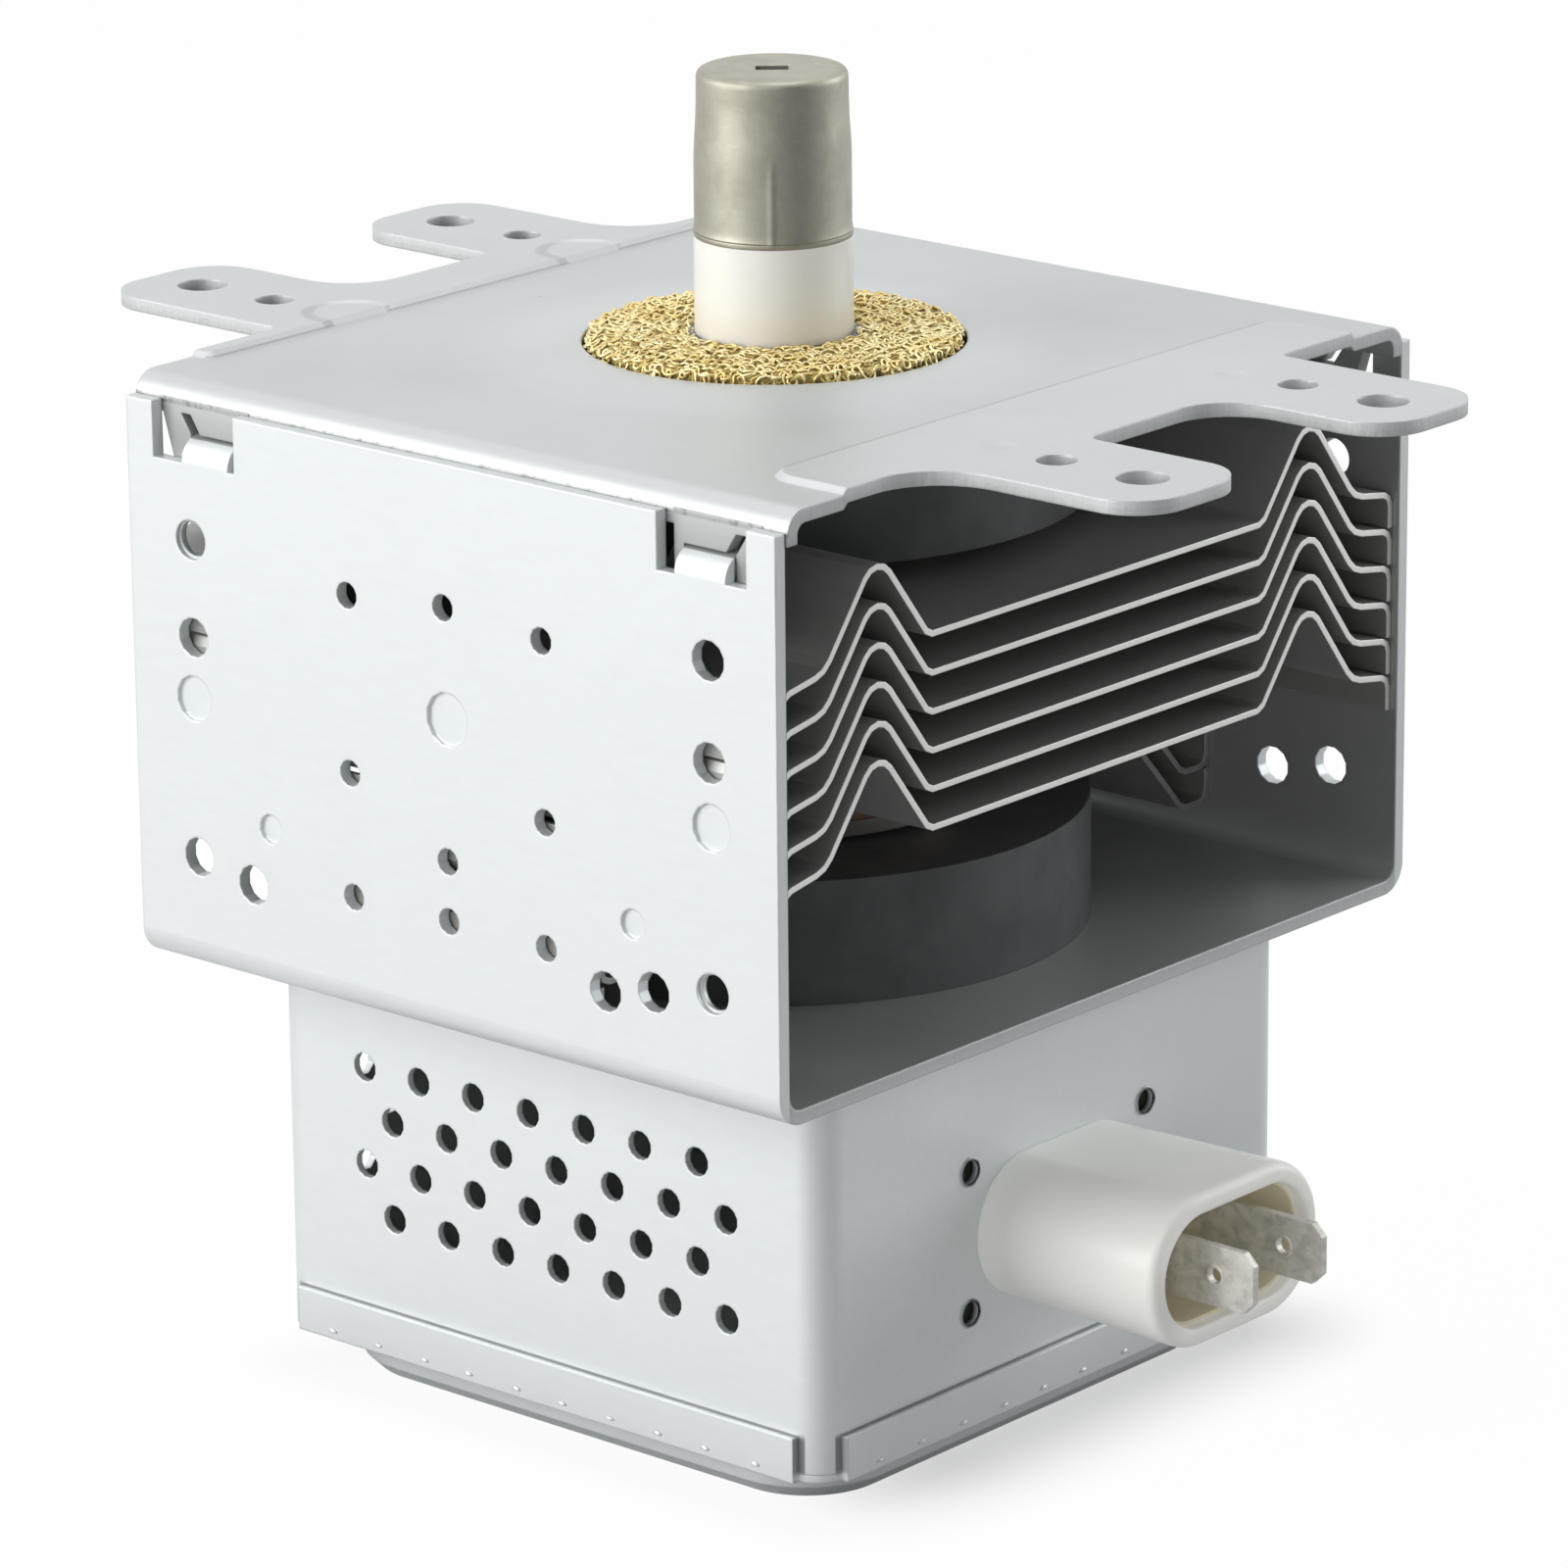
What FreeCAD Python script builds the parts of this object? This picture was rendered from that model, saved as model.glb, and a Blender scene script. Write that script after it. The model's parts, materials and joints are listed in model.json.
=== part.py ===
import FreeCAD, Part
import math
import os

# Magnetron of a microwave oven, in millimetres.
# Origin on the antenna axis in the mounting plane, +Z along the antenna, +X toward the connector.

# Sheet thicknesses
STEEL = 1.4
FIN_SHEET = 0.6
BOX_SHEET = 0.8
CUP_SHEET = 0.5

# Mounting plate
PLATE_HALF_X = 42.0
EAR_RAISE = 0.6
EAR_TIP_X = 67.5
EAR_CENTRE_Y = 18.4
EAR_HALF_WIDTH = 8.2
EAR_GAP_REACH = 5.5
EAR_OUTER_HOLE_X = 60.8
EAR_INNER_HOLE_X = 50.6
EAR_OUTER_HOLE_R = 2.55
EAR_INNER_HOLE_R = 2.0
EAR_ROOT_R_NEAR = 7.5
EAR_ROOT_R_FAR = 1.2
EAR_TIP_R = 5.5
EAR_GAP_R_NEAR = 1.5
EAR_GAP_R_FAR = 6.5
STEP_INSET_FRONT = 10.5
STEP_INSET_BACK = 2.5
STEP_HALF_Y = 39.0
STEP_SLOPE = 0.8
STEP_R_FRONT = 4.0
STEP_R_BACK = 1.5
PLATE_FLANGE_DROP = 3.3
PLATE_BEND_R = 1.1

# Yoke frame
YOKE_INSET_X = 0.2
YOKE_HALF_Y = 48.2
YOKE_BEND_R = 1.6
YOKE_TOP_BELOW_PLATE = 2.0
NOTCH_INSET_X = 9.0
NOTCH_WIDTH = 11.0
NOTCH_DEPTH = 5.6
TAB_WIDTH = 6.2
TAB_SHIFT_FRONT = -0.2
TAB_SHIFT_REAR = 1.5
TAB_REACH = 4.6
TAB_RISE = 1.8
TAB_BEND_R = 1.0
TONGUE_WIDTH = 10.8
TONGUE_SHIFT = 0.8
TONGUE_DROP = 10.4
TONGUE_SLANT = 1.3
TONGUE_CORNER_R = 2.0
LANCE_RISE = 1.9
LANCE_WIDTH = 1.3
LANCE_LEAN = 1.3
SHEET_CLEARANCE = 0.1
BEND_CHORD = 1.1
PUNCH_FLAT_COUNT = 12
REAR_FLAT_COUNT = 8

# Magnetic circuit and tube, stacked down from the mounting plate
MAGNET_R = 31.2
MAGNET_BORE_R = 10.5
FLOOR_HOLE_R = 11.0
MAGNET_HEIGHT = 12.6
POLE_RIM = 1.5
ANODE_HEIGHT = 27.3
ANODE_R = 19.5
ANODE_WALL = 2.2
POLE_BORE_R = 4.8
VANE_COUNT = 10
VANE_HEIGHT = 9.6
VANE_THICKNESS = 2.0
VANE_TIP_R = 4.5
FLANGE_R = 16.0

# Cathode
FILAMENT_R = 2.0
FILAMENT_BORE_R = 1.4
HAT_R = 3.6
UPPER_HAT_R = 3.1
HAT_THICKNESS = 1.0
LEAD_R = 0.75
SIDE_LEAD_Y = 2.7
CATHODE_CUP_R = 9.5
CATHODE_CUP_BELOW_BOX_TOP = 3.5
STEM_HEIGHT = 10.5
LEAD_BELOW_STEM = 4.0
LUG_THICKNESS = 0.8
LUG_MARGIN = 1.0

# Cooling fins
FIN_COUNT = 6
FIN_PITCH = 3.8
FIN_INSET_X = 0.8
FIN_FLAT_INSET = 21.3
FIN_TONGUE_HALF_X = 18.0
FIN_CREST_INSET = 13.9
FIN_CREST_RISE = 9.6
FIN_CREST_R = 2.2
FIN_FOOT_INSET = 6.3
FIN_FOOT_DROP = 0.4
FIN_FOOT_FALL = 1.0
FIN_FOOT_R = 3.3
FIN_FLAT_R = 1.1
FIN_RIM_R = 1.2
FIN_TONGUE_END_INSET = 4.4
FIN_TONGUE_FALL = 18.7
FIN_TOP_BELOW_ANODE = 0.4

# Antenna
CERAMIC_R = 7.85
CERAMIC_WALL = 1.9
CAP_FOOT_Z = 10.9
CAP_TOP_Z = 27.4
CAP_R = 7.75
CAP_TOP_R = 7.45
CAP_SHOULDER_Z = 20.4
CAP_SHOULDER_HEIGHT = 1.4
CAP_SHEET = 0.5
CAP_ROUNDING = 0.9
CAP_LIP = 0.15
CAP_LIP_HEIGHT = 0.7
CAP_SLOT_LENGTH = 3.2
CAP_SLOT_WIDTH = 1.9
CAP_SLOT_TURN = 41
EXHAUST_R = 3.0
EXHAUST_LENGTH = 12.0
ANTENNA_LEAD_R = 0.8
ANTENNA_LEAD_FOOT_X = 4.9
CUP_RIM_Z = 1.2
CUP_R = 8.8
GASKET_R = 18.8
GASKET_BORE_R = 9.1
GASKET_CROWN_Z = 1.7
GASKET_SLOPE = 2.5
PLATE_HOLE_R = 19.0

# Filter box
BOX_HALF = 36.0
BOX_CORNER_R = 3.5
BOX_HEIGHT = 40.1
BOX_HOLE_R = 1.5
BOX_HOLE_PITCH_X = 7.34
BOX_HOLE_PITCH_Z = 5.1
BOX_HOLE_ROWS = 4
BOX_HOLES_PER_ROW = 7
BOX_HOLES_FIRST_X = -23.6
BOX_HOLES_FIRST_DROP = 11.1
LID_RIM_RISE = 4.6
LID_PLATEAU_DROP = 4.5
LID_PLATEAU_HALF = 33.0
LID_PLATEAU_R = 9.5
LID_PLATEAU_EDGE = 1.4
LID_HOLLOW_EDGE = 1.2
LID_RIM_END_GAP = 3.0

# Connector
SOCKET_DROP = 22.1
SOCKET_REACH = 22.3
SOCKET_WIDTH = 26.4
SOCKET_HEIGHT = 15.8
SOCKET_TAPER = 0.6
SOCKET_WALL = 2.1
CAPACITOR_FIT = 0.4
BLADE_Y = 5.4
BLADE_WIDTH = 6.2
BLADE_THICKNESS = 0.8
BLADE_END_X = 64.7
BLADE_HOLE_X = 60.0
BLADE_HOLE_R = 0.85
BLADE_CHAMFER = 1.2
SWAGE_Y = 13.64
SWAGE_RISE = 7.3
SWAGE_R = 1.45
SWAGE_WALL = 0.3
FLANGE_MARGIN_Y = 3.5
FLANGE_MARGIN_Z = 3.0
CAPACITOR_DEPTH = 14.0
CAPACITOR_REACH = 8.0

# Choke coils
CHOKE_Y = 9.0
CHOKE_START_X = 4.0
CHOKE_LENGTH = 14.0
CHOKE_R = 4.2
CHOKE_BORE_R = 2.6
CHOKE_CORE_R = 2.5

# Widths that follow
YOKE_HALF_X = PLATE_HALF_X - YOKE_INSET_X
NOTCH_X = YOKE_HALF_X - NOTCH_INSET_X
FIN_HALF_X = YOKE_HALF_X - FIN_INSET_X

# Heights that follow
PLATE_TOP = -EAR_RAISE
PLATE_UNDERSIDE = PLATE_TOP - STEEL
UPPER_MAGNET_BASE = PLATE_UNDERSIDE - MAGNET_HEIGHT
UPPER_POLE_TOP = UPPER_MAGNET_BASE - CUP_SHEET
ANODE_TOP = UPPER_POLE_TOP - POLE_RIM
ANODE_BASE = ANODE_TOP - ANODE_HEIGHT
LOWER_POLE_BASE = ANODE_BASE - POLE_RIM
LOWER_MAGNET_TOP = LOWER_POLE_BASE - CUP_SHEET
YOKE_FLOOR_TOP = LOWER_MAGNET_TOP - MAGNET_HEIGHT
YOKE_BASE = YOKE_FLOOR_TOP - STEEL
YOKE_TOP = PLATE_TOP - YOKE_TOP_BELOW_PLATE
ANODE_MIDDLE = (ANODE_TOP + ANODE_BASE) / 2
BOX_RIM = YOKE_BASE - BOX_HEIGHT
SOCKET_Z = YOKE_BASE - SOCKET_DROP
INNER_WALL_Y = YOKE_HALF_Y - STEEL
TONGUE_Y = INNER_WALL_Y - SHEET_CLEARANCE
FIN_WALL_Y = INNER_WALL_Y - SHEET_CLEARANCE - FIN_SHEET / 2
FIN_RIM_REACH = FIN_PITCH - FIN_SHEET / 2 - SHEET_CLEARANCE
BOX_INNER = BOX_HALF - BOX_SHEET
STEM_TOP = YOKE_BASE - CATHODE_CUP_BELOW_BOX_TOP
STEM_BASE = STEM_TOP - STEM_HEIGHT
LEAD_END = STEM_BASE - LEAD_BELOW_STEM
BLADE_START_X = CHOKE_START_X + CHOKE_LENGTH


def vector(x, y, z):
    return FreeCAD.Vector(x, y, z)


def on_plan(z):
    return lambda u, v: vector(u, v, z)


def on_end(x):
    return lambda u, v: vector(x, u, v)


def on_side(y):
    return lambda u, v: vector(u, y, v)


def rounded_face(corners, place):
    """Face inside corners (u, v, radius), each rounded by its radius, at the place given."""
    arcs = []
    for i, (u, v, radius) in enumerate(corners):
        here = vector(u, v, 0)
        before = vector(corners[i - 1][0], corners[i - 1][1], 0)
        after = vector(corners[(i + 1) % len(corners)][0], corners[(i + 1) % len(corners)][1], 0)
        if radius <= 0:
            arcs.append((here, None, here))
            continue
        back = (before - here).normalize()
        ahead = (after - here).normalize()
        half = back.getAngle(ahead) / 2
        reach = radius / math.tan(half)
        middle = here + (back + ahead).normalize() * (radius / math.sin(half) - radius)
        arcs.append((here + back * reach, middle, here + ahead * reach))
    edges = []
    for i, (start, middle, end) in enumerate(arcs):
        if middle is not None:
            points = [place(p.x, p.y) for p in (start, middle, end)]
            edges.append(Part.Arc(*points).toShape())
        following = arcs[(i + 1) % len(arcs)][0]
        if end.distanceToPoint(following) > 1e-6:
            edges.append(Part.makeLine(place(end.x, end.y), place(following.x, following.y)))
    return Part.Face(Part.Wire(edges))


def folded_outline(path, thickness):
    """Outline of a sheet whose middle follows path (u, v, inside radius of the bend)."""
    half = thickness / 2
    left = []
    right = []
    for i, (u, v, radius) in enumerate(path):
        here = vector(u, v, 0)
        ways = []
        if i > 0:
            ways.append((here - vector(path[i - 1][0], path[i - 1][1], 0)).normalize())
        if i < len(path) - 1:
            ways.append((vector(path[i + 1][0], path[i + 1][1], 0) - here).normalize())
        normals = [vector(-way.y, way.x, 0) for way in ways]
        mitre = (normals[0] + normals[-1]).normalize()
        shift = mitre * (half / mitre.dot(normals[0]))
        turn = ways[0].x * ways[-1].y - ways[0].y * ways[-1].x
        inside = radius
        outside = radius + thickness if radius > 0 else 0
        bent = len(ways) == 2 and radius > 0
        left_radius = (inside if turn > 0 else outside) if bent else 0
        right_radius = (outside if turn > 0 else inside) if bent else 0
        left.append((here.x + shift.x, here.y + shift.y, left_radius))
        right.append((here.x - shift.x, here.y - shift.y, right_radius))
    return left + right[::-1]


def chorded(path):
    """Path (u, v, radius) with each rounded corner drawn as short straight chords."""
    points = []
    for i, (u, v, radius) in enumerate(path):
        if radius <= 0:
            points.append((u, v, 0))
            continue
        here = vector(u, v, 0)
        back = (vector(path[i - 1][0], path[i - 1][1], 0) - here).normalize()
        ahead = (vector(path[i + 1][0], path[i + 1][1], 0) - here).normalize()
        half = back.getAngle(ahead) / 2
        centre = here + (back + ahead).normalize() * (radius / math.sin(half))
        start = here + back * (radius / math.tan(half)) - centre
        end = here + ahead * (radius / math.tan(half)) - centre
        turn = start.getAngle(end)
        count = max(1, round(turn * radius / BEND_CHORD))
        for step in range(count + 1):
            share = step / count
            spoke = start * math.sin((1 - share) * turn) + end * math.sin(share * turn)
            spoke = spoke * (1 / math.sin(turn))
            points.append((centre.x + spoke.x, centre.y + spoke.y, 0))
    return points


def folded_along_x(path, thickness, x_from, x_to):
    """Sheet folded along path (y, z, inside radius) and drawn from x_from to x_to."""
    face = rounded_face(folded_outline(path, thickness), on_end(x_from))
    return face.extrude(vector(x_to - x_from, 0, 0))


def plan_block(corners, z_low, z_high):
    return rounded_face(corners, on_plan(z_low)).extrude(vector(0, 0, z_high - z_low))


def square_plan(half_x, half_y, radius):
    return [
        (-half_x, -half_y, radius),
        (half_x, -half_y, radius),
        (half_x, half_y, radius),
        (-half_x, half_y, radius),
    ]


def block(x_from, x_to, y_from, y_to, z_from, z_to):
    corner = vector(min(x_from, x_to), min(y_from, y_to), min(z_from, z_to))
    return Part.makeBox(abs(x_to - x_from), abs(y_to - y_from), abs(z_to - z_from), corner)


def rod(radius, z_low, z_high, x=0, y=0):
    return Part.makeCylinder(radius, z_high - z_low, vector(x, y, z_low))


def turned(profile):
    """Solid of revolution about the antenna axis from its half section (r, z, radius)."""
    face = rounded_face(profile, on_side(0))
    return face.revolve(vector(0, 0, 0), vector(0, 0, 1), 360)


def ring(outer, inner, z_low, z_high):
    return rod(outer, z_low, z_high).cut(rod(inner, z_low, z_high))


def half_turned(shape):
    turned_copy = shape.copy()
    turned_copy.rotate(vector(0, 0, 0), vector(0, 0, 1), 180)
    return turned_copy


def drilled(shape, cutters):
    return shape.cut(Part.makeCompound(cutters))


def tab_centre(notch_x):
    return notch_x + (TAB_SHIFT_FRONT if notch_x > 0 else TAB_SHIFT_REAR)


def clinch_section():
    """Path (y, z, inside radius) of a yoke tab rolled inward through the plate's slot, on the -Y wall."""
    wall = -(YOKE_HALF_Y - STEEL / 2)
    foot = YOKE_TOP - NOTCH_DEPTH - STEEL
    roll = YOKE_TOP - NOTCH_DEPTH + TAB_RISE
    return [(wall, foot, 0), (wall, roll, TAB_BEND_R), (wall + TAB_REACH, roll, 0)]


# Holes of the side wall (x, z) and its pressed dimples (x, z, radius)
SCREW_HOLES = [(-33.5, -15.8), (33.6, -48.1)]
WIDE_HOLES = [
    (33.5, -15.8), (33.5, -25.65), (-33.5, -25.65), (-33.6, -48.1), (26.2, -49.5), (-26.2, -49.5),
    (20.1, -50.7),
]
NARROW_HOLES = [
    (12.6, -17.7), (0.0, -16.7), (-12.6, -17.7), (12.7, -35.5), (-12.7, -35.5), (0.0, -41.9),
    (12.6, -48.0), (0.0, -47.9), (-12.6, -48.0),
]
DIMPLES = [
    (33.65, -31.9, 2.35), (-33.65, -31.9, 2.35), (0.3, -27.7, 2.7), (23.65, -43.3, 1.5),
    (-23.65, -43.3, 1.5),
]
WIDE_HOLE_R = 2.0
NARROW_HOLE_R = 1.35
DIMPLE_DEPTH = 0.4


def punched(place, normal, radius, depth, flats=PUNCH_FLAT_COUNT):
    """Cutter of a small punched hole, drawn with flats in place of a circle."""
    corners = []
    for i in range(flats):
        angle = 2 * math.pi * (i + 0.5) / flats
        corners.append(vector(radius * math.cos(angle), radius * math.sin(angle), 0))
    face = Part.Face(Part.makePolygon(corners + corners[:1]))
    face.Placement = FreeCAD.Placement(place, FreeCAD.Rotation(vector(0, 0, 1), normal))
    return face.extrude(normal * depth)


def wall_punch(x, z, radius, depth):
    """Punched hole into the outer face of the -Y wall."""
    return punched(vector(x, -YOKE_HALF_Y, z), vector(0, 1, 0), radius, depth)


def make_yoke_frame():
    """Folded U: floor and two drilled side walls, notched at the top with a clinch tab in each notch."""
    wall = YOKE_HALF_Y - STEEL / 2
    floor = YOKE_BASE + STEEL / 2
    path = [
        (-wall, YOKE_TOP, 0),
        (-wall, floor, YOKE_BEND_R),
        (wall, floor, YOKE_BEND_R),
        (wall, YOKE_TOP, 0),
    ]
    yoke = folded_along_x(path, STEEL, -YOKE_HALF_X, YOKE_HALF_X)
    cutters = [rod(FLOOR_HOLE_R, YOKE_BASE, YOKE_FLOOR_TOP)]
    tabs = []
    for x in (-NOTCH_X, NOTCH_X):
        half = NOTCH_WIDTH / 2
        notch = block(x - half, x + half, -YOKE_HALF_Y, -INNER_WALL_Y, YOKE_TOP - NOTCH_DEPTH, YOKE_TOP)
        tab_x = tab_centre(x)
        tab = folded_along_x(clinch_section(), STEEL, tab_x - TAB_WIDTH / 2, tab_x + TAB_WIDTH / 2)
        cutters += [notch, half_turned(notch)]
        tabs += [tab, half_turned(tab)]
    for x, z in SCREW_HOLES:
        bore = Part.makeCylinder(WIDE_HOLE_R, STEEL, vector(x, -YOKE_HALF_Y, z), vector(0, 1, 0))
        cutters += [bore, half_turned(bore)]
    for x, z in WIDE_HOLES:
        hole = wall_punch(x, z, WIDE_HOLE_R, STEEL)
        cutters += [hole, half_turned(hole)]
    for x, z in NARROW_HOLES:
        cutters.append(wall_punch(x, z, NARROW_HOLE_R, STEEL))
    for x, z, radius in DIMPLES:
        cutters.append(wall_punch(x, z, radius, DIMPLE_DEPTH))
    return drilled(yoke, cutters).fuse(tabs).removeSplitter()


def ear_outline():
    """Plan of the plate with its four ears, half a turn alike."""
    low = EAR_CENTRE_Y - EAR_HALF_WIDTH
    high = EAR_CENTRE_Y + EAR_HALF_WIDTH
    gap_x = PLATE_HALF_X + EAR_GAP_REACH
    half = [
        (PLATE_HALF_X, -YOKE_HALF_Y, 0),
        (PLATE_HALF_X, -high, EAR_ROOT_R_NEAR),
        (EAR_TIP_X, -high, EAR_TIP_R),
        (EAR_TIP_X, -low, EAR_TIP_R),
        (gap_x, -low, EAR_GAP_R_NEAR),
        (gap_x, low, EAR_GAP_R_FAR),
        (EAR_TIP_X, low, EAR_TIP_R),
        (EAR_TIP_X, high, EAR_TIP_R),
        (PLATE_HALF_X, high, EAR_ROOT_R_FAR),
        (PLATE_HALF_X, YOKE_HALF_Y, 0),
    ]
    return half + [(-x, -y, radius) for x, y, radius in half]


def raised_zone(x_from, x_to, radius, top):
    """Block under a raised part of the plate, its upper edge sloped as the pressed step is."""
    corners = [
        (x_from, -STEP_HALF_Y, radius),
        (x_to, -STEP_HALF_Y, radius),
        (x_to, STEP_HALF_Y, radius),
        (x_from, STEP_HALF_Y, radius),
    ]
    zone = plan_block(corners, top - STEEL, top)
    rim = [edge for edge in zone.Edges if min(v.Z for v in edge.Vertexes) > top - 1e-6]
    return zone.makeChamfer(STEP_SLOPE, rim)


def plate_tongue(notch_x):
    """Tongue of the plate behind the -Y wall's notch, its outer edge slanted."""
    x = notch_x + TONGUE_SHIFT
    half = TONGUE_WIDTH / 2
    slant = TONGUE_SLANT if x < 0 else 0
    bottom = PLATE_TOP - TONGUE_DROP
    top = PLATE_TOP - STEEL / 2 - PLATE_BEND_R
    corners = [
        (x - half - slant, top, 0),
        (x - half + slant, bottom, TONGUE_CORNER_R),
        (x + half, bottom, TONGUE_CORNER_R),
        (x + half, top, 0),
    ]
    return rounded_face(corners, on_side(-TONGUE_Y)).extrude(vector(0, STEEL, 0))


def tongue_slot(notch_x):
    """Cutter of the tongue's slot: as wide as the clinch tab, with a slanted lance at its outer end."""
    way = 1 if notch_x > 0 else -1
    inner_x = tab_centre(notch_x) - way * (TAB_WIDTH / 2 + SHEET_CLEARANCE)
    outer_x = tab_centre(notch_x) + way * (TAB_WIDTH / 2 + SHEET_CLEARANCE)
    slot_top = YOKE_TOP - NOTCH_DEPTH + TAB_RISE + STEEL / 2 + SHEET_CLEARANCE
    slot_bottom = YOKE_TOP - NOTCH_DEPTH - SHEET_CLEARANCE
    slot = block(inner_x, outer_x, -TONGUE_Y, STEEL - TONGUE_Y, slot_bottom, slot_top)
    corners = [
        (outer_x - way * LANCE_WIDTH, slot_top - SHEET_CLEARANCE, 0),
        (outer_x, slot_top - SHEET_CLEARANCE, 0),
        (outer_x + way * LANCE_LEAN, slot_top + LANCE_RISE, 0),
        (outer_x + way * (LANCE_LEAN - LANCE_WIDTH), slot_top + LANCE_RISE, 0),
    ]
    lance = rounded_face(corners, on_side(-TONGUE_Y)).extrude(vector(0, STEEL, 0))
    return slot.fuse(lance)


def make_mounting_plate():
    """Pressed plate: four raised ears, bent-down sides with clinch tongues, a hole for the gasket."""
    flange = TONGUE_Y - STEEL / 2
    middle = PLATE_TOP - STEEL / 2
    foot = PLATE_TOP - PLATE_FLANGE_DROP
    path = [
        (-flange, foot, 0),
        (-flange, middle, PLATE_BEND_R),
        (flange, middle, PLATE_BEND_R),
        (flange, foot, 0),
    ]
    plate = folded_along_x(path, STEEL, -PLATE_HALF_X, PLATE_HALF_X)
    column = plan_block(ear_outline(), PLATE_UNDERSIDE - STEEL, EAR_RAISE)
    past_ears = EAR_TIP_X + EAR_TIP_R
    front = raised_zone(PLATE_HALF_X - STEP_INSET_FRONT, past_ears, STEP_R_FRONT, 0)
    back = raised_zone(-past_ears, STEP_INSET_BACK - PLATE_HALF_X, STEP_R_BACK, 0)
    zones = front.fuse(back)
    pockets = zones.copy()
    pockets.translate(vector(0, 0, -STEEL))
    plate = plate.cut(pockets).fuse(zones.common(column))
    tongues = []
    holes = [rod(PLATE_HOLE_R, PLATE_UNDERSIDE, 0)]
    for x in (-NOTCH_X, NOTCH_X):
        tongue = plate_tongue(x)
        slot = tongue_slot(x)
        tongues += [tongue, half_turned(tongue)]
        holes += [slot, half_turned(slot)]
    for side_x in (-1, 1):
        for side_y in (-1, 1):
            y = side_y * EAR_CENTRE_Y
            holes.append(rod(EAR_OUTER_HOLE_R, -STEEL, 0, side_x * EAR_OUTER_HOLE_X, y))
            holes.append(rod(EAR_INNER_HOLE_R, -STEEL, 0, side_x * EAR_INNER_HOLE_X, y))
    return drilled(plate.fuse(tongues), holes).removeSplitter()


def fin_height(index):
    return ANODE_TOP - FIN_TOP_BELOW_ANODE - index * FIN_PITCH


def mirrored_path(half):
    """Path from +Y to -Y through the points (y, z, radius) given for the +Y half."""
    return half + [(-y, height, radius) for y, height, radius in half[::-1]]


def fin_band_path(z):
    """Front and rear bands: from the flat over a rounded crest to a flange down the side wall."""
    foot = z - FIN_FOOT_DROP
    edge = foot - FIN_FOOT_FALL
    return mirrored_path([
        (FIN_WALL_Y, edge - FIN_RIM_REACH, 0),
        (FIN_WALL_Y, edge, FIN_RIM_R),
        (INNER_WALL_Y - FIN_FOOT_INSET, foot, FIN_FOOT_R),
        (INNER_WALL_Y - FIN_CREST_INSET, z + FIN_CREST_RISE, FIN_CREST_R),
        (INNER_WALL_Y - FIN_FLAT_INSET, z, FIN_FLAT_R),
    ])


def fin_tongue_path(z):
    """Middle tongue: bent down past the lower magnet to a flange up the side wall."""
    foot = z - FIN_TONGUE_FALL
    return mirrored_path([
        (FIN_WALL_Y, foot + FIN_RIM_REACH, 0),
        (FIN_WALL_Y, foot, FIN_RIM_R),
        (INNER_WALL_Y - FIN_TONGUE_END_INSET, foot, FIN_RIM_R),
        (INNER_WALL_Y - FIN_FLAT_INSET, z, 0),
    ])


def make_cooling_fin(index):
    """One formed fin, pressed on the anode and sprung between the side walls."""
    z = fin_height(index)
    band_path = chorded(fin_band_path(z))
    tongue_path = chorded(fin_tongue_path(z))
    front = folded_along_x(band_path, FIN_SHEET, FIN_TONGUE_HALF_X, FIN_HALF_X)
    rear = folded_along_x(band_path, FIN_SHEET, -FIN_HALF_X, -FIN_TONGUE_HALF_X)
    tongue = folded_along_x(tongue_path, FIN_SHEET, -FIN_TONGUE_HALF_X, FIN_TONGUE_HALF_X)
    hub = rod(ANODE_R, z - FIN_SHEET, z + FIN_SHEET)
    return front.fuse([rear, tongue]).removeSplitter().cut(hub)


def make_upper_magnet():
    return ring(MAGNET_R, MAGNET_BORE_R, UPPER_MAGNET_BASE, PLATE_UNDERSIDE)


def make_lower_magnet():
    return ring(MAGNET_R, MAGNET_BORE_R, YOKE_FLOOR_TOP, LOWER_MAGNET_TOP)


def make_anode_cylinder():
    return ring(ANODE_R, ANODE_R - ANODE_WALL, ANODE_BASE, ANODE_TOP)


def make_anode_vane(index):
    """Radial copper plate from the anode wall to the tip circle round the cathode."""
    outer = math.sqrt((ANODE_R - ANODE_WALL) ** 2 - (VANE_THICKNESS / 2) ** 2)
    low = ANODE_MIDDLE - VANE_HEIGHT / 2
    half = VANE_THICKNESS / 2
    vane = block(VANE_TIP_R, outer, -half, half, low, low + VANE_HEIGHT)
    vane.rotate(vector(0, 0, 0), vector(0, 0, 1), index * 360 / VANE_COUNT)
    return vane


def make_upper_pole_piece():
    """Iron disc that closes the anode and brings the field to the vanes."""
    return ring(ANODE_R, POLE_BORE_R, ANODE_TOP, UPPER_POLE_TOP)


def make_lower_pole_piece():
    return ring(ANODE_R, POLE_BORE_R, LOWER_POLE_BASE, ANODE_BASE)


def make_antenna_seal_cup():
    """Drawn cup: flange on the pole piece, tube through the magnet, lip under the ceramic."""
    wall = CUP_SHEET
    return turned([
        (CERAMIC_R - CERAMIC_WALL, CUP_RIM_Z - wall, 0),
        (CUP_R - wall, CUP_RIM_Z - wall, 0),
        (CUP_R - wall, UPPER_POLE_TOP, 0),
        (FLANGE_R, UPPER_POLE_TOP, 0),
        (FLANGE_R, UPPER_MAGNET_BASE, 0),
        (CUP_R, UPPER_MAGNET_BASE, 0),
        (CUP_R, CUP_RIM_Z, 0),
        (CERAMIC_R - CERAMIC_WALL, CUP_RIM_Z, 0),
    ])


def make_antenna_insulator():
    return ring(CERAMIC_R, CERAMIC_R - CERAMIC_WALL, CUP_RIM_Z, CAP_FOOT_Z)


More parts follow.
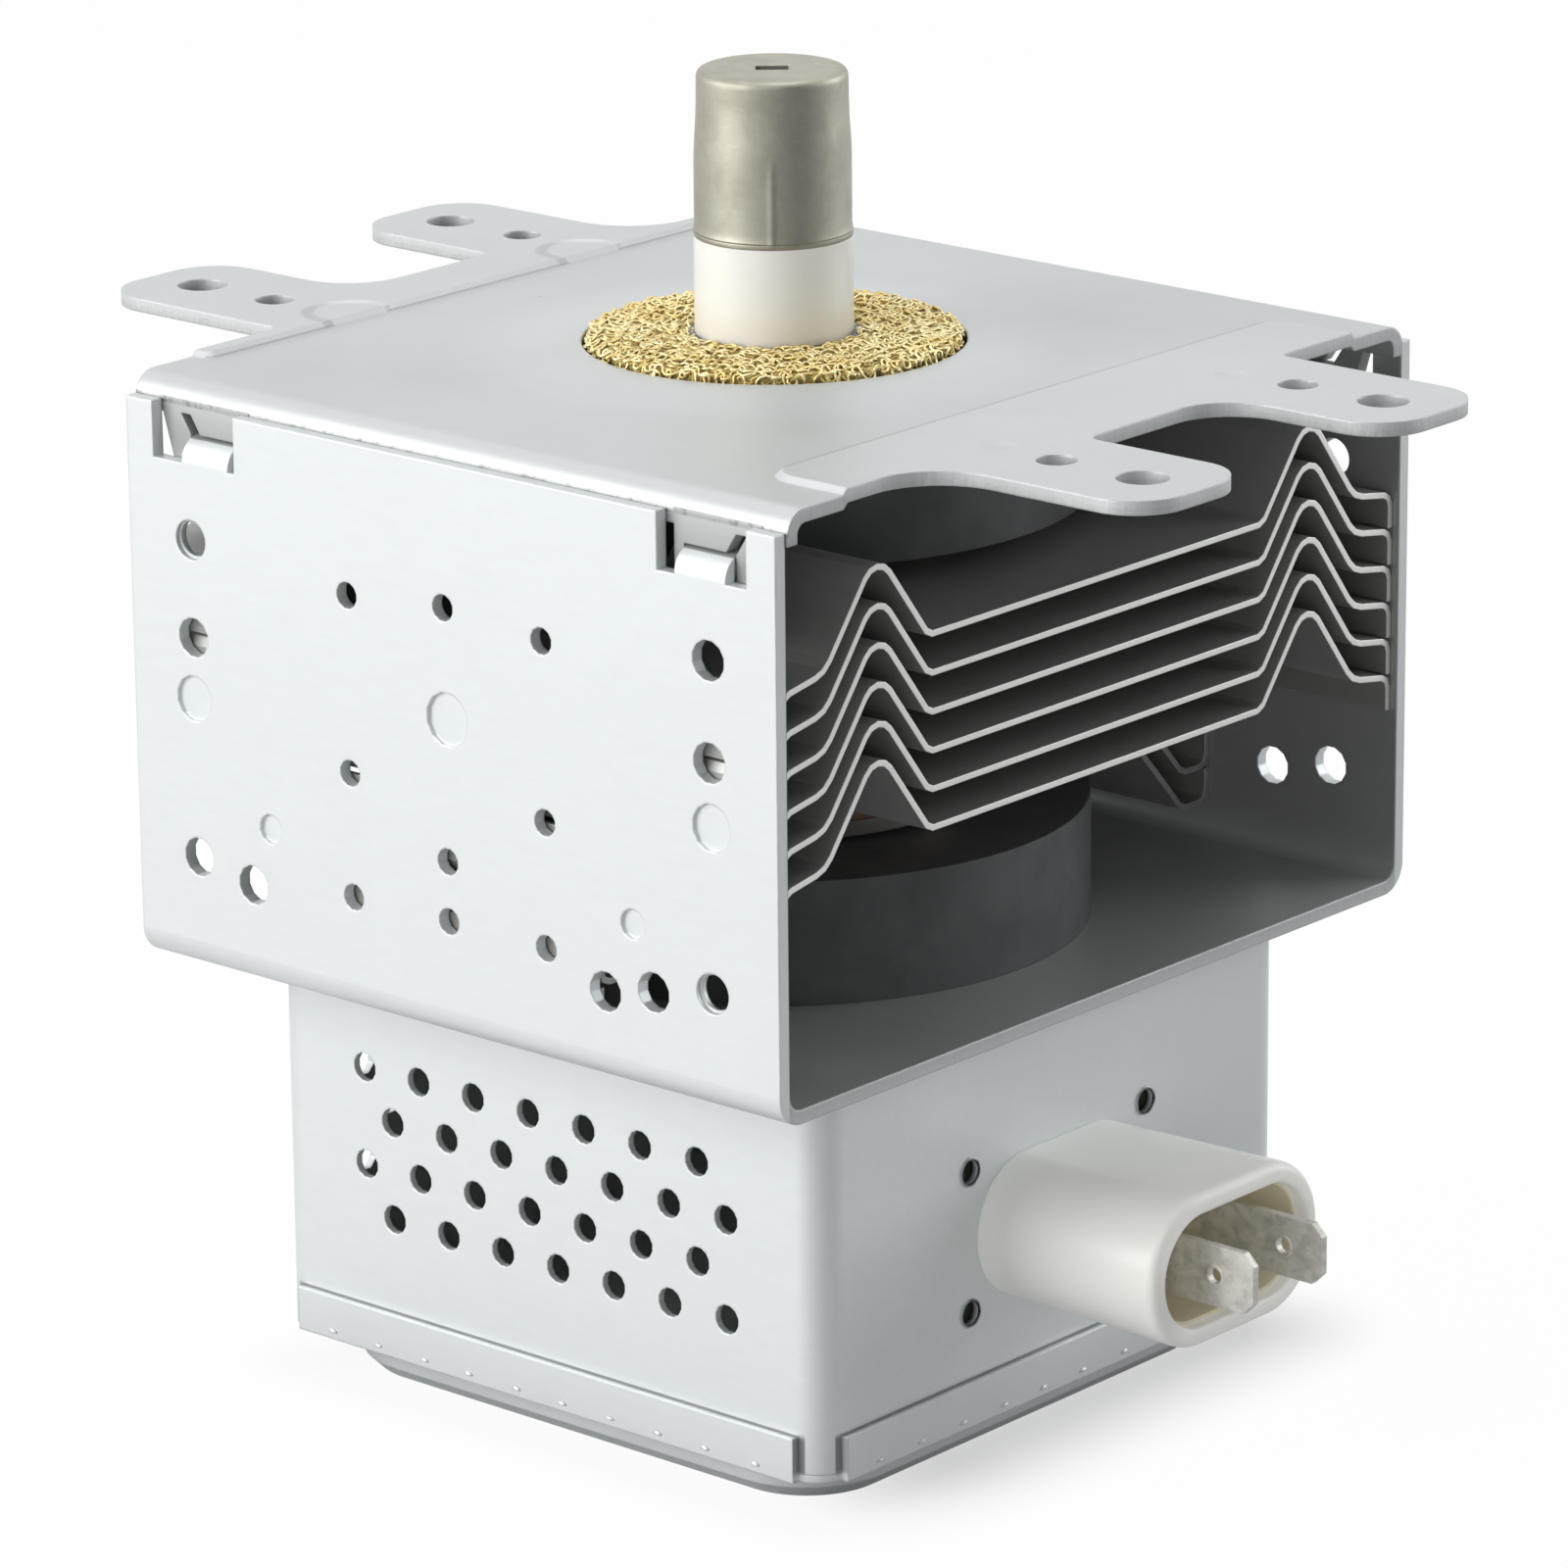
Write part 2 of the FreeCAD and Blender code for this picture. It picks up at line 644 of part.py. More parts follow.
def make_antenna_cap():
    """Drawn cap: foot lip on the ceramic, slight shoulder, rounded and slotted top."""
    wall = CAP_SHEET
    cap = turned([
        (CAP_TOP_R - wall, CAP_FOOT_Z, 0),
        (CAP_R + CAP_LIP, CAP_FOOT_Z, 0),
        (CAP_R + CAP_LIP, CAP_FOOT_Z + CAP_LIP_HEIGHT, 0),
        (CAP_R, CAP_FOOT_Z + CAP_LIP_HEIGHT, 0),
        (CAP_R, CAP_SHOULDER_Z, 0),
        (CAP_TOP_R, CAP_SHOULDER_Z + CAP_SHOULDER_HEIGHT, 0),
        (CAP_TOP_R, CAP_TOP_Z - CAP_ROUNDING, 0),
        (CAP_TOP_R - 0.3 * CAP_ROUNDING, CAP_TOP_Z - 0.3 * CAP_ROUNDING, 0),
        (CAP_TOP_R - CAP_ROUNDING, CAP_TOP_Z, 0),
        (0, CAP_TOP_Z, 0),
        (0, CAP_TOP_Z - 2 * wall, 0),
        (CAP_TOP_R - wall, CAP_TOP_Z - 2 * wall, 0),
    ])
    half_length = CAP_SLOT_LENGTH / 2
    half_width = CAP_SLOT_WIDTH / 2
    slot = block(-half_length, half_length, -half_width, half_width, CAP_TOP_Z - 2 * wall, CAP_TOP_Z)
    slot.rotate(vector(0, 0, 0), vector(0, 0, 1), CAP_SLOT_TURN)
    return cap.cut(slot)


def make_exhaust_tube():
    """Pinched-off copper tube that closes the vacuum under the cap."""
    return rod(EXHAUST_R, CAP_FOOT_Z, CAP_FOOT_Z + EXHAUST_LENGTH)


def make_antenna_lead():
    """Rod that leans from the top of one vane to the exhaust tube on the axis."""
    foot = ANODE_MIDDLE + VANE_HEIGHT / 2
    circle = Part.makeCircle(ANTENNA_LEAD_R, vector(ANTENNA_LEAD_FOOT_X, 0, foot))
    return Part.Face(Part.Wire(circle)).extrude(vector(-ANTENNA_LEAD_FOOT_X, 0, CAP_FOOT_Z - foot))


def make_rf_gasket():
    """Knitted brass ring between the plate and the oven's guide, crowned above the plate."""
    return turned([
        (GASKET_BORE_R, PLATE_UNDERSIDE, 0),
        (GASKET_R, PLATE_UNDERSIDE, 0),
        (GASKET_R, 0, 0),
        (GASKET_R - GASKET_SLOPE, GASKET_CROWN_Z, 0),
        (GASKET_BORE_R, GASKET_CROWN_Z, 0),
    ])


def make_filament():
    """Heater between the end hats, drawn as the tube its turns fill."""
    half = VANE_HEIGHT / 2
    return ring(FILAMENT_R, FILAMENT_BORE_R, ANODE_MIDDLE - half, ANODE_MIDDLE + half)


def make_upper_end_hat():
    low = ANODE_MIDDLE + VANE_HEIGHT / 2
    return rod(UPPER_HAT_R, low, low + HAT_THICKNESS)


def make_lower_end_hat():
    top = ANODE_MIDDLE - VANE_HEIGHT / 2
    return ring(HAT_R, FILAMENT_BORE_R, top - HAT_THICKNESS, top)


def make_centre_lead():
    """Molybdenum rod up the middle of the filament to the upper hat."""
    return rod(LEAD_R, LEAD_END, ANODE_MIDDLE + VANE_HEIGHT / 2)


def make_side_lead():
    """Second rod, from the lower hat down beside the first one."""
    return rod(LEAD_R, LEAD_END, ANODE_MIDDLE - VANE_HEIGHT / 2 - HAT_THICKNESS, 0, SIDE_LEAD_Y)


def make_cathode_seal_cup():
    """Drawn cup: flange under the lower pole piece, tube through magnet, yoke and box top."""
    wall = CUP_SHEET
    return turned([
        (CATHODE_CUP_R, LOWER_MAGNET_TOP, 0),
        (FLANGE_R, LOWER_MAGNET_TOP, 0),
        (FLANGE_R, LOWER_POLE_BASE, 0),
        (CATHODE_CUP_R - wall, LOWER_POLE_BASE, 0),
        (CATHODE_CUP_R - wall, STEM_TOP + wall, 0),
        (CERAMIC_R - CERAMIC_WALL, STEM_TOP + wall, 0),
        (CERAMIC_R - CERAMIC_WALL, STEM_TOP, 0),
        (CATHODE_CUP_R, STEM_TOP, 0),
    ])


def make_cathode_insulator():
    """Ceramic stem that both leads pass through."""
    stem = rod(CERAMIC_R, STEM_BASE, STEM_TOP)
    bores = [rod(LEAD_R, STEM_BASE, STEM_TOP), rod(LEAD_R, STEM_BASE, STEM_TOP, 0, SIDE_LEAD_Y)]
    return drilled(stem, bores)


def make_cathode_lug(side):
    """Flat lug under a lead's end, reaching over to the end of its choke coil."""
    start = 0 if side < 0 else SIDE_LEAD_Y
    corners = [
        (-LUG_MARGIN, start - side * LUG_MARGIN, 0),
        (-LUG_MARGIN, side * (CHOKE_Y + LUG_MARGIN), 0),
        (CHOKE_START_X, side * (CHOKE_Y + LUG_MARGIN), 0),
        (CHOKE_START_X, side * (CHOKE_Y - LUG_MARGIN), 0),
        (LUG_MARGIN, side * (CHOKE_Y - 2 * LUG_MARGIN), 0),
        (LUG_MARGIN, start - side * LUG_MARGIN, 0),
    ]
    return plan_block(corners, LEAD_END - LUG_THICKNESS, LEAD_END)


def make_choke_coil(side):
    """Winding between a cathode lug and the inner end of a blade."""
    start = vector(CHOKE_START_X, side * CHOKE_Y, SOCKET_Z)
    along = vector(1, 0, 0)
    winding = Part.makeCylinder(CHOKE_R, CHOKE_LENGTH, start, along)
    return winding.cut(Part.makeCylinder(CHOKE_BORE_R, CHOKE_LENGTH, start, along))


def make_choke_core(side):
    """Ferrite rod inside the winding."""
    place = vector(CHOKE_START_X, side * CHOKE_Y, SOCKET_Z)
    return Part.makeCylinder(CHOKE_CORE_R, CHOKE_LENGTH, place, vector(1, 0, 0))


def swage_places(x):
    return [vector(x, y, SOCKET_Z + rise) for y in (-SWAGE_Y, SWAGE_Y) for rise in (-SWAGE_RISE, SWAGE_RISE)]


def make_filter_box():
    """Drawn can with a hole for the cathode, two perforated sides and bores for the connector."""
    outer = plan_block(square_plan(BOX_HALF, BOX_HALF, BOX_CORNER_R), BOX_RIM, YOKE_BASE)
    inside = square_plan(BOX_INNER, BOX_INNER, BOX_CORNER_R - BOX_SHEET)
    box = outer.cut(plan_block(inside, BOX_RIM, YOKE_BASE - BOX_SHEET))
    cutters = [rod(FLOOR_HOLE_R, YOKE_BASE - BOX_SHEET, YOKE_BASE)]
    for row in range(BOX_HOLE_ROWS):
        shift = (row % 2) * BOX_HOLE_PITCH_X / 2
        z = YOKE_BASE - BOX_HOLES_FIRST_DROP - row * BOX_HOLE_PITCH_Z
        for column in range(BOX_HOLES_PER_ROW):
            x = BOX_HOLES_FIRST_X + shift + column * BOX_HOLE_PITCH_X
            near = vector(x, -BOX_HALF, z)
            rear = vector(-BOX_HALF, -x, z)
            cutters.append(punched(near, vector(0, 1, 0), BOX_HOLE_R, BOX_SHEET))
            cutters.append(punched(rear, vector(1, 0, 0), BOX_HOLE_R, BOX_SHEET, REAR_FLAT_COUNT))
    for place in swage_places(BOX_INNER):
        cutters.append(punched(place, vector(1, 0, 0), SWAGE_R, BOX_SHEET))
    throat = rounded_face(socket_outline(SOCKET_WALL + CAPACITOR_FIT), on_end(BOX_INNER))
    cutters.append(throat.extrude(vector(BOX_SHEET, 0, 0)))
    return drilled(box, cutters)


def make_capacitor_flange():
    """Plate inside the box wall that the connector is swaged to."""
    half_y = SWAGE_Y + FLANGE_MARGIN_Y
    half_z = SWAGE_RISE + FLANGE_MARGIN_Z
    inner = BOX_INNER - BOX_SHEET
    plate = block(inner, BOX_INNER, -half_y, half_y, SOCKET_Z - half_z, SOCKET_Z + half_z)
    bore_r = SWAGE_R - SWAGE_WALL
    cutters = [punched(place, vector(1, 0, 0), bore_r, BOX_SHEET) for place in swage_places(inner)]
    throat = rounded_face(socket_outline(SOCKET_WALL + CAPACITOR_FIT), on_end(inner))
    cutters.append(throat.extrude(vector(BOX_SHEET, 0, 0)))
    return drilled(plate, cutters)


def plateau_block(half, radius, edge, z_low, z_high):
    """Rounded square block whose lower edge is bevelled."""
    plateau = plan_block(square_plan(half, half, radius), z_low, z_high)
    lower = [e for e in plateau.Edges if max(v.Z for v in e.Vertexes) < z_low + 1e-6]
    return plateau.makeChamfer(edge, lower)


def make_filter_box_lid():
    """Pressed lid: rim folded up over the can, drawn plateau that the magnetron stands on."""
    over = BOX_HALF + BOX_SHEET
    web_low = BOX_RIM - BOX_SHEET
    rim_top = BOX_RIM + LID_RIM_RISE - BOX_SHEET
    base = web_low - LID_PLATEAU_DROP
    rim = plan_block(square_plan(over, over, BOX_CORNER_R + BOX_SHEET), web_low, rim_top)
    inset = BOX_HALF - LID_RIM_END_GAP
    can_plan = square_plan(BOX_HALF, BOX_HALF, BOX_CORNER_R)
    cutters = [plan_block(can_plan, BOX_RIM, rim_top)]
    under_can = plan_block(can_plan, web_low, BOX_RIM)
    for side_x in (-1, 1):
        for side_y in (-1, 1):
            ends_x = (side_x * inset, side_x * over)
            ends_y = (side_y * inset, side_y * over)
            cutters.append(block(*ends_x, *ends_y, web_low, rim_top).cut(under_can))
    plateau = plateau_block(LID_PLATEAU_HALF, LID_PLATEAU_R, LID_PLATEAU_EDGE, base, web_low)
    hollow = plateau_block(
        LID_PLATEAU_HALF - BOX_SHEET, LID_PLATEAU_R - BOX_SHEET, LID_HOLLOW_EDGE, base + BOX_SHEET, BOX_RIM
    )
    return drilled(rim, cutters).fuse(plateau).cut(hollow).removeSplitter()


def socket_outline(inset):
    """Rounded outline (y, z, radius) of the connector, drawn in by inset."""
    half_y = SOCKET_WIDTH / 2 - inset
    half_z = SOCKET_HEIGHT / 2 - inset
    radius = half_z - 0.01
    return [
        (-half_y, SOCKET_Z - half_z, radius),
        (half_y, SOCKET_Z - half_z, radius),
        (half_y, SOCKET_Z + half_z, radius),
        (-half_y, SOCKET_Z + half_z, radius),
    ]


def make_connector_housing():
    """Moulded socket, a little wider at its mouth than at the box."""
    mouth_r = SOCKET_HEIGHT / 2
    base_r = mouth_r - SOCKET_TAPER
    centre_y = SOCKET_WIDTH / 2 - mouth_r
    mouth_x = BOX_HALF + SOCKET_REACH
    corners = [
        vector(BOX_HALF, -centre_y, SOCKET_Z - base_r),
        vector(mouth_x, -centre_y, SOCKET_Z - mouth_r),
        vector(mouth_x, -centre_y, SOCKET_Z + mouth_r),
        vector(BOX_HALF, -centre_y, SOCKET_Z + base_r),
    ]
    outer = Part.Face(Part.makePolygon(corners + corners[:1])).extrude(vector(0, 2 * centre_y, 0))
    for y in (-centre_y, centre_y):
        end = Part.makeCone(base_r, mouth_r, SOCKET_REACH, vector(BOX_HALF, y, SOCKET_Z), vector(1, 0, 0))
        outer = outer.fuse(end)
    inner = rounded_face(socket_outline(SOCKET_WALL), on_end(BOX_HALF)).extrude(vector(SOCKET_REACH, 0, 0))
    return outer.cut(inner).removeSplitter()


def blade_slot(y):
    half = BLADE_THICKNESS / 2
    low = SOCKET_Z - BLADE_WIDTH / 2
    return block(BLADE_START_X, BLADE_END_X, y - half, y + half, low, low + BLADE_WIDTH)


def make_capacitor_body():
    """Insulating block that carries both blades through the box wall."""
    outline = socket_outline(SOCKET_WALL + CAPACITOR_FIT)
    body = rounded_face(outline, on_end(BOX_HALF - CAPACITOR_DEPTH))
    body = body.extrude(vector(CAPACITOR_DEPTH + CAPACITOR_REACH, 0, 0))
    return drilled(body, [blade_slot(-BLADE_Y), blade_slot(BLADE_Y)])


def make_terminal_blade(side):
    """Push-on blade with chamfered end and a dimpled hole."""
    y = side * BLADE_Y
    half = BLADE_WIDTH / 2
    start = BLADE_START_X
    blade = rounded_face(
        [
            (start, SOCKET_Z - half, 0),
            (BLADE_END_X - BLADE_CHAMFER, SOCKET_Z - half, 0),
            (BLADE_END_X, SOCKET_Z - half + BLADE_CHAMFER, 0),
            (BLADE_END_X, SOCKET_Z + half - BLADE_CHAMFER, 0),
            (BLADE_END_X - BLADE_CHAMFER, SOCKET_Z + half, 0),
            (start, SOCKET_Z + half, 0),
        ],
        on_side(y - BLADE_THICKNESS / 2),
    ).extrude(vector(0, BLADE_THICKNESS, 0))
    place = vector(BLADE_HOLE_X, y - BLADE_THICKNESS / 2, SOCKET_Z)
    return blade.cut(punched(place, vector(0, 1, 0), BLADE_HOLE_R, BLADE_THICKNESS))


def all_parts():
    parts = {
        "yoke_frame": make_yoke_frame(),
        "mounting_plate": make_mounting_plate(),
        "upper_magnet": make_upper_magnet(),
        "lower_magnet": make_lower_magnet(),
        "anode_cylinder": make_anode_cylinder(),
        "upper_pole_piece": make_upper_pole_piece(),
        "lower_pole_piece": make_lower_pole_piece(),
        "antenna_seal_cup": make_antenna_seal_cup(),
        "antenna_insulator": make_antenna_insulator(),
        "antenna_cap": make_antenna_cap(),
        "exhaust_tube": make_exhaust_tube(),
        "antenna_lead": make_antenna_lead(),
        "rf_gasket": make_rf_gasket(),
        "filament": make_filament(),
        "upper_end_hat": make_upper_end_hat(),
        "lower_end_hat": make_lower_end_hat(),
        "centre_lead": make_centre_lead(),
        "side_lead": make_side_lead(),
        "cathode_seal_cup": make_cathode_seal_cup(),
        "cathode_insulator": make_cathode_insulator(),
        "filter_box": make_filter_box(),
        "filter_box_lid": make_filter_box_lid(),
        "connector_housing": make_connector_housing(),
        "capacitor_body": make_capacitor_body(),
        "capacitor_flange": make_capacitor_flange(),
    }
    for number, side in ((1, -1), (2, 1)):
        parts["terminal_blade_%d" % number] = make_terminal_blade(side)
        parts["cathode_lug_%d" % number] = make_cathode_lug(side)
        parts["choke_coil_%d" % number] = make_choke_coil(side)
        parts["choke_core_%d" % number] = make_choke_core(side)
    for index in range(FIN_COUNT):
        parts["cooling_fin_%d" % (index + 1)] = make_cooling_fin(index)
    for index in range(VANE_COUNT):
        parts["anode_vane_%02d" % (index + 1)] = make_anode_vane(index)
    return parts


os.makedirs("parts", exist_ok=True)
for name, shape in all_parts().items():
    shape.exportStep("parts/%s.step" % name)
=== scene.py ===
import json
import math

import bmesh
import bpy
import numpy as np
from bpy.props import FloatProperty, FloatVectorProperty, IntProperty, PointerProperty
from bpy.types import Operator, Panel, PropertyGroup
from mathutils import Matrix, Vector


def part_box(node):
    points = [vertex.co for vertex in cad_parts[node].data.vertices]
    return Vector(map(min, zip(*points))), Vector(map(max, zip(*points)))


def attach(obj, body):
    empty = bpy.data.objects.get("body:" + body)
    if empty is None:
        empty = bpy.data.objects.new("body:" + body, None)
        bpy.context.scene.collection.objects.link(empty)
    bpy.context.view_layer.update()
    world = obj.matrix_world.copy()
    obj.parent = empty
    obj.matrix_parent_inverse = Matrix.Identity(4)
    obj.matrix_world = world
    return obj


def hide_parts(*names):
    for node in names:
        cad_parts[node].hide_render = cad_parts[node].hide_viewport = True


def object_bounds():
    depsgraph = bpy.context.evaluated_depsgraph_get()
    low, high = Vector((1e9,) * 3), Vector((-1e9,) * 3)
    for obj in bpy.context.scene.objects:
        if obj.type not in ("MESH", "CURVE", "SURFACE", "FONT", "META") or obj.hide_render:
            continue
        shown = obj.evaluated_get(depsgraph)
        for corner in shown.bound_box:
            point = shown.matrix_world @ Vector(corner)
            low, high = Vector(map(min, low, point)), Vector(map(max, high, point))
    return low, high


bl_info = {
    "name": "Magnetron Dress",
    "version": (1, 0, 0),
    "blender": (4, 5, 0),
    "location": "3D View > Sidebar > Magnetron",
    "description": "Knitted gasket, drawn cap, threads, collars and finishes of a microwave oven magnetron",
    "category": "Object",
}

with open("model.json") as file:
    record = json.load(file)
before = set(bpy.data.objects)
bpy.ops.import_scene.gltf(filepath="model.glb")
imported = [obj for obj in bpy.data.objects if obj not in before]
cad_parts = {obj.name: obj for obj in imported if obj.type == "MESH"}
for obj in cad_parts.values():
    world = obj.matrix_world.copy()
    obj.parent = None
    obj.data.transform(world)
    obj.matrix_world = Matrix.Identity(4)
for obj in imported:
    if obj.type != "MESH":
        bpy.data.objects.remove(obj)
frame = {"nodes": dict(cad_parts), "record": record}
CAD_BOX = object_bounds()
MM = 0.001

# Places on the solids
YOKE_LOW, WALL_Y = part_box("yoke_frame")[0].z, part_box("yoke_frame")[1].y
GASKET_LOW, GASKET_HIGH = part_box("rf_gasket")
CAP_LOW, CAP_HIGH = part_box("antenna_cap")
SOCKET_LOW, SOCKET_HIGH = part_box("connector_housing")
SOCKET_Z = (SOCKET_LOW.z + SOCKET_HIGH.z) / 2
BOX_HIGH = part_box("filter_box")[1]
RIM_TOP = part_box("filter_box_lid")[1].z
FIN_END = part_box("cooling_fin_1")[1].x
FLOOR_Z = CAD_BOX[0].z

# Sizes that the boxes above don't give
RIM_END = 33.0 * MM
PLATEAU_HALF = 33.0 * MM
WALL_THICKNESS = 1.4 * MM
PLATE_FACE = -0.6 * MM
PLATE_MARKS_LOW = -2.1 * MM
SEAT_HOLE = 18.97 * MM
GASKET_BORE = 7.9 * MM
CORE_BORE = 9.4 * MM
SCREW_RADIUS = 2.0 * MM
SCREW_PLACES = [
    (-33.5 * MM, -15.8 * MM, 1), (33.6 * MM, -48.1 * MM, 1), (33.5 * MM, -15.8 * MM, -1), (-33.6 * MM, -48.1 * MM, -1)]
RIVET_PLACES = [(y * MM, rise * MM) for y in (-13.64, 13.64) for rise in (-7.3, 7.3)]
BLADE_HOLE_X = 60.0 * MM

# Marks on the steel: the sheared ends and specks are its own; the seam line is partly, and the rest wholly, painted
# shade
MARKS = {
    "sheared": (0.36, 0.35, 0.32, 1),
    "seam_shade_and_grime": (0.09, 0.08, 0.065, 1),
    "rim_shadow": (0.10, 0.10, 0.10, 1),
    "within": (0.26, 0.265, 0.255, 1),
    "speck": (0.25, 0.24, 0.21, 1),
    "step": (0.22, 0.20, 0.20, 1),
}
REAR_DISH_DEPTH = 0.9 * MM
FRONT_DENT_DEPTH = 0.22 * MM
DISH_RIM = 1.6 * MM
SCRATCH_DEPTH = 0.05 * MM

# Stage, in metres: each lamp's name, place, target, sides, power, tint and whether it shows in reflections
LAMPS = [
    ("key", (-0.55, -1.05, 0.42), (0, 0, -0.05), (0.9, 0.9), 13.5, (1.0, 0.995, 0.98), True),
    ("top", (-0.1, 0.15, 1.1), (0, 0, 0), (1.0, 1.0), 4.0, (1.0, 1.0, 1.0), True),
    ("rim", (0.62, 0.95, 0.30), (0, 0, -0.03), (0.7, 0.7), 4.5, (0.97, 0.985, 1.0), True),
    ("front", (0.85, -0.75, 0.05), (0, 0, -0.05), (0.8, 0.4), 2.6, (1.0, 1.0, 1.0), False),
]
FLOOR_REACH = 6.0
CARD_TURN = math.radians(40)
CARD_DISTANCE, CARD_HALF_WIDTH, CARD_LOW, CARD_HIGH = 0.5, 0.55, -0.1, 0.5


def number(name, description, default, **limits):
    return FloatProperty(name=name, description=description, default=default, **limits)


def length(name, description, default):
    return number(name, description, default, min=0.0, subtype="DISTANCE", unit="LENGTH", precision=5)


def angle(name, description, degrees):
    return number(name, description, math.radians(degrees), subtype="ANGLE", unit="ROTATION")


def triple(name, description, default, **limits):
    return FloatVectorProperty(name=name, description=description, default=default, size=3, **limits)


def colour(name, description, default):
    return triple(name, description, default, min=0.0, max=1.0, subtype="COLOR")


def spot(name, description, default):
    return triple(name, description, default, subtype="TRANSLATION", unit="LENGTH")


class GasketSizes(PropertyGroup):
    """Sizes of the knitted brass gasket."""

    wire: length("Wire", "Radius of one knitted wire", 0.15 * MM)
    stitch: length("Stitch", "Width of one stitch along a row", 1.75 * MM)
    rows: IntProperty(name="Rows", description="Rows of stitches from the outer foot to the bore", default=12, min=4)
    wander: number("Wander", "How far a row strays from its place, in row spacings", 0.45, min=0.0)
    seat_rise: length("Seat rise", "Rise of the plate's drawn rim round the gasket", 1.0 * MM)
    seat_width: length("Seat width", "Width over which that rim blends into the plate", 13.0 * MM)
    loop: number("Loop", "Reach of a loop over the next row, in row spacings", 1.05, min=0.1)


class CapSizes(PropertyGroup):
    """Sizes of the drawn antenna cap."""

    rounding: length("Rounding", "Radius of the rounded top edge", 0.9 * MM)
    flare: length("Flare", "How far the foot lip stands out", 0.14 * MM)
    crease: length("Crease", "Height of the upright crease on the lower half", 0.11 * MM)
    crease_turn: angle("Crease turn", "Angle of the crease from the row's X", -50.07725)
    slot_length: length("Slot length", "Length of the slot in the top", 3.2 * MM)
    slot_width: length("Slot width", "Width of the slot in the top", 1.9 * MM)
    slot_turn: angle("Slot turn", "Angle of the slot from the row's X", 41)


class MetalworkSizes(PropertyGroup):
    """Sizes of the small formed details on the sheet metal."""

    thread_pitch: length("Thread pitch", "Rise of one turn of the screw threads", 0.7 * MM)
    thread_depth: length("Thread depth", "Depth of the screw threads", 0.28 * MM)
    collar_height: length("Collar height", "How far the swaged collars stand out", 0.12 * MM)
    collar_flare: length("Collar flare", "How far the lips of the swaged collars spread", 0.10 * MM)
    tick_width: length("Tick width", "Width of one crimp tick on the lid's rim", 1.25 * MM)
    tick_height: length("Tick height", "Height of one crimp tick", 0.42 * MM)
    tick_depth: length("Tick depth", "How far a crimp tick stands out", 0.22 * MM)
    tick_pitch: length("Tick pitch", "Distance between crimp ticks", 6.27 * MM)
    lining_wall: length("Lining wall", "Thickness of the beige lining in the socket", 0.35 * MM)
    mouth_rounding: length("Mouth rounding", "Radius of the rounded outer edge of the socket's mouth", 1.3 * MM)


class Finishes(PropertyGroup):
    """Colours of the finishes, as the surfaces reflect."""

    zinc: colour("Zinc", "Zinc plate on the pressed steel", (0.765, 0.80, 0.812))
    aluminium: colour("Aluminium", "Rolled sheet of the cooling fins", (0.40, 0.405, 0.39))
    ferrite: colour("Ferrite", "Ground magnet rings", (0.088, 0.091, 0.093))
    ceramic: colour("Ceramic", "White alumina", (0.93, 0.925, 0.88))
    nickel: colour("Nickel", "Satin plate of the antenna cap", (0.405, 0.39, 0.33))
    brass: colour("Brass", "Knitted wire", (0.93, 0.815, 0.46))
    housing: colour("Housing", "Off-white moulding of the connector", (0.93, 0.925, 0.885))
    resin: colour("Resin", "Beige insulator round the blades", (0.76, 0.70, 0.52))
    copper: colour("Copper", "Anode, vanes and tubes", (0.36, 0.235, 0.18))
    iron: colour("Iron", "Pole pieces and seal cups", (0.34, 0.33, 0.31))
    tin: colour("Tin", "Plated blades and lugs", (0.84, 0.825, 0.77))
    enamel: colour("Enamel", "Lacquered choke wire", (0.42, 0.16, 0.06))
    wire_grey: colour("Lead grey", "Tungsten and molybdenum of the cathode", (0.25, 0.25, 0.26))


class StageSettings(PropertyGroup):
    """Floor, lamps and camera."""

    floor: colour("Floor", "Colour of the floor where it lights the object", (0.34, 0.345, 0.35))
    white: number("White", "Share of plain white in the floor away from the object", 0.975, min=0.0, max=1.0)
    near: number("Near", "Share of plain white in the floor right beside the object", 0.5, min=0.0, max=1.0)
    key: number("Key", "Strength of all the lamps", 1.0, min=0.0)
    fill: number("Fill", "Light of the surroundings on the object", 0.10, min=0.0)
    lens: number("Lens", "Focal length of the camera", 185.58, min=1.0, subtype="DISTANCE_CAMERA")
    eye: spot("Eye", "Where the camera stands", (0.50763, -0.58255, 0.19026))
    target: spot("Target", "Where the camera looks", (0.0007, 0.0, -0.04539))
    roll: angle("Roll", "Turn of the camera about its view", -0.53)


# Shapes


def grid_faces(rows, columns, close_rows=False, close_columns=False):
    """Quads between neighbours of a grid of points stored row by row, closed round on itself where asked."""
    row = np.arange(rows if close_rows else rows - 1)
    column = np.arange(columns if close_columns else columns - 1)
    row, column = np.meshgrid(row * columns, column, indexing="ij")
    next_row, next_column = (row + columns) % (rows * columns), (column + 1) % columns
    corners = (row + column, row + next_column, next_row + next_column, next_row + column)
    return np.stack(corners, -1).reshape(-1, 4)


def merged(parts):
    """One shape out of several (points, faces): each kind of face counts on from the points of the parts before."""
    starts = np.cumsum([0] + [len(part[0]) for part in parts])
    points, *kinds = zip(*parts)
    faces = [np.concatenate([face + start for face, start in zip(kind, starts)]) for kind in kinds]
    return (np.concatenate(points), *faces)


def linked(name, data):
    """Object with the data, at the origin of the scene."""
    made = bpy.data.objects.new(name, data)
    bpy.context.scene.collection.objects.link(made)
    return made


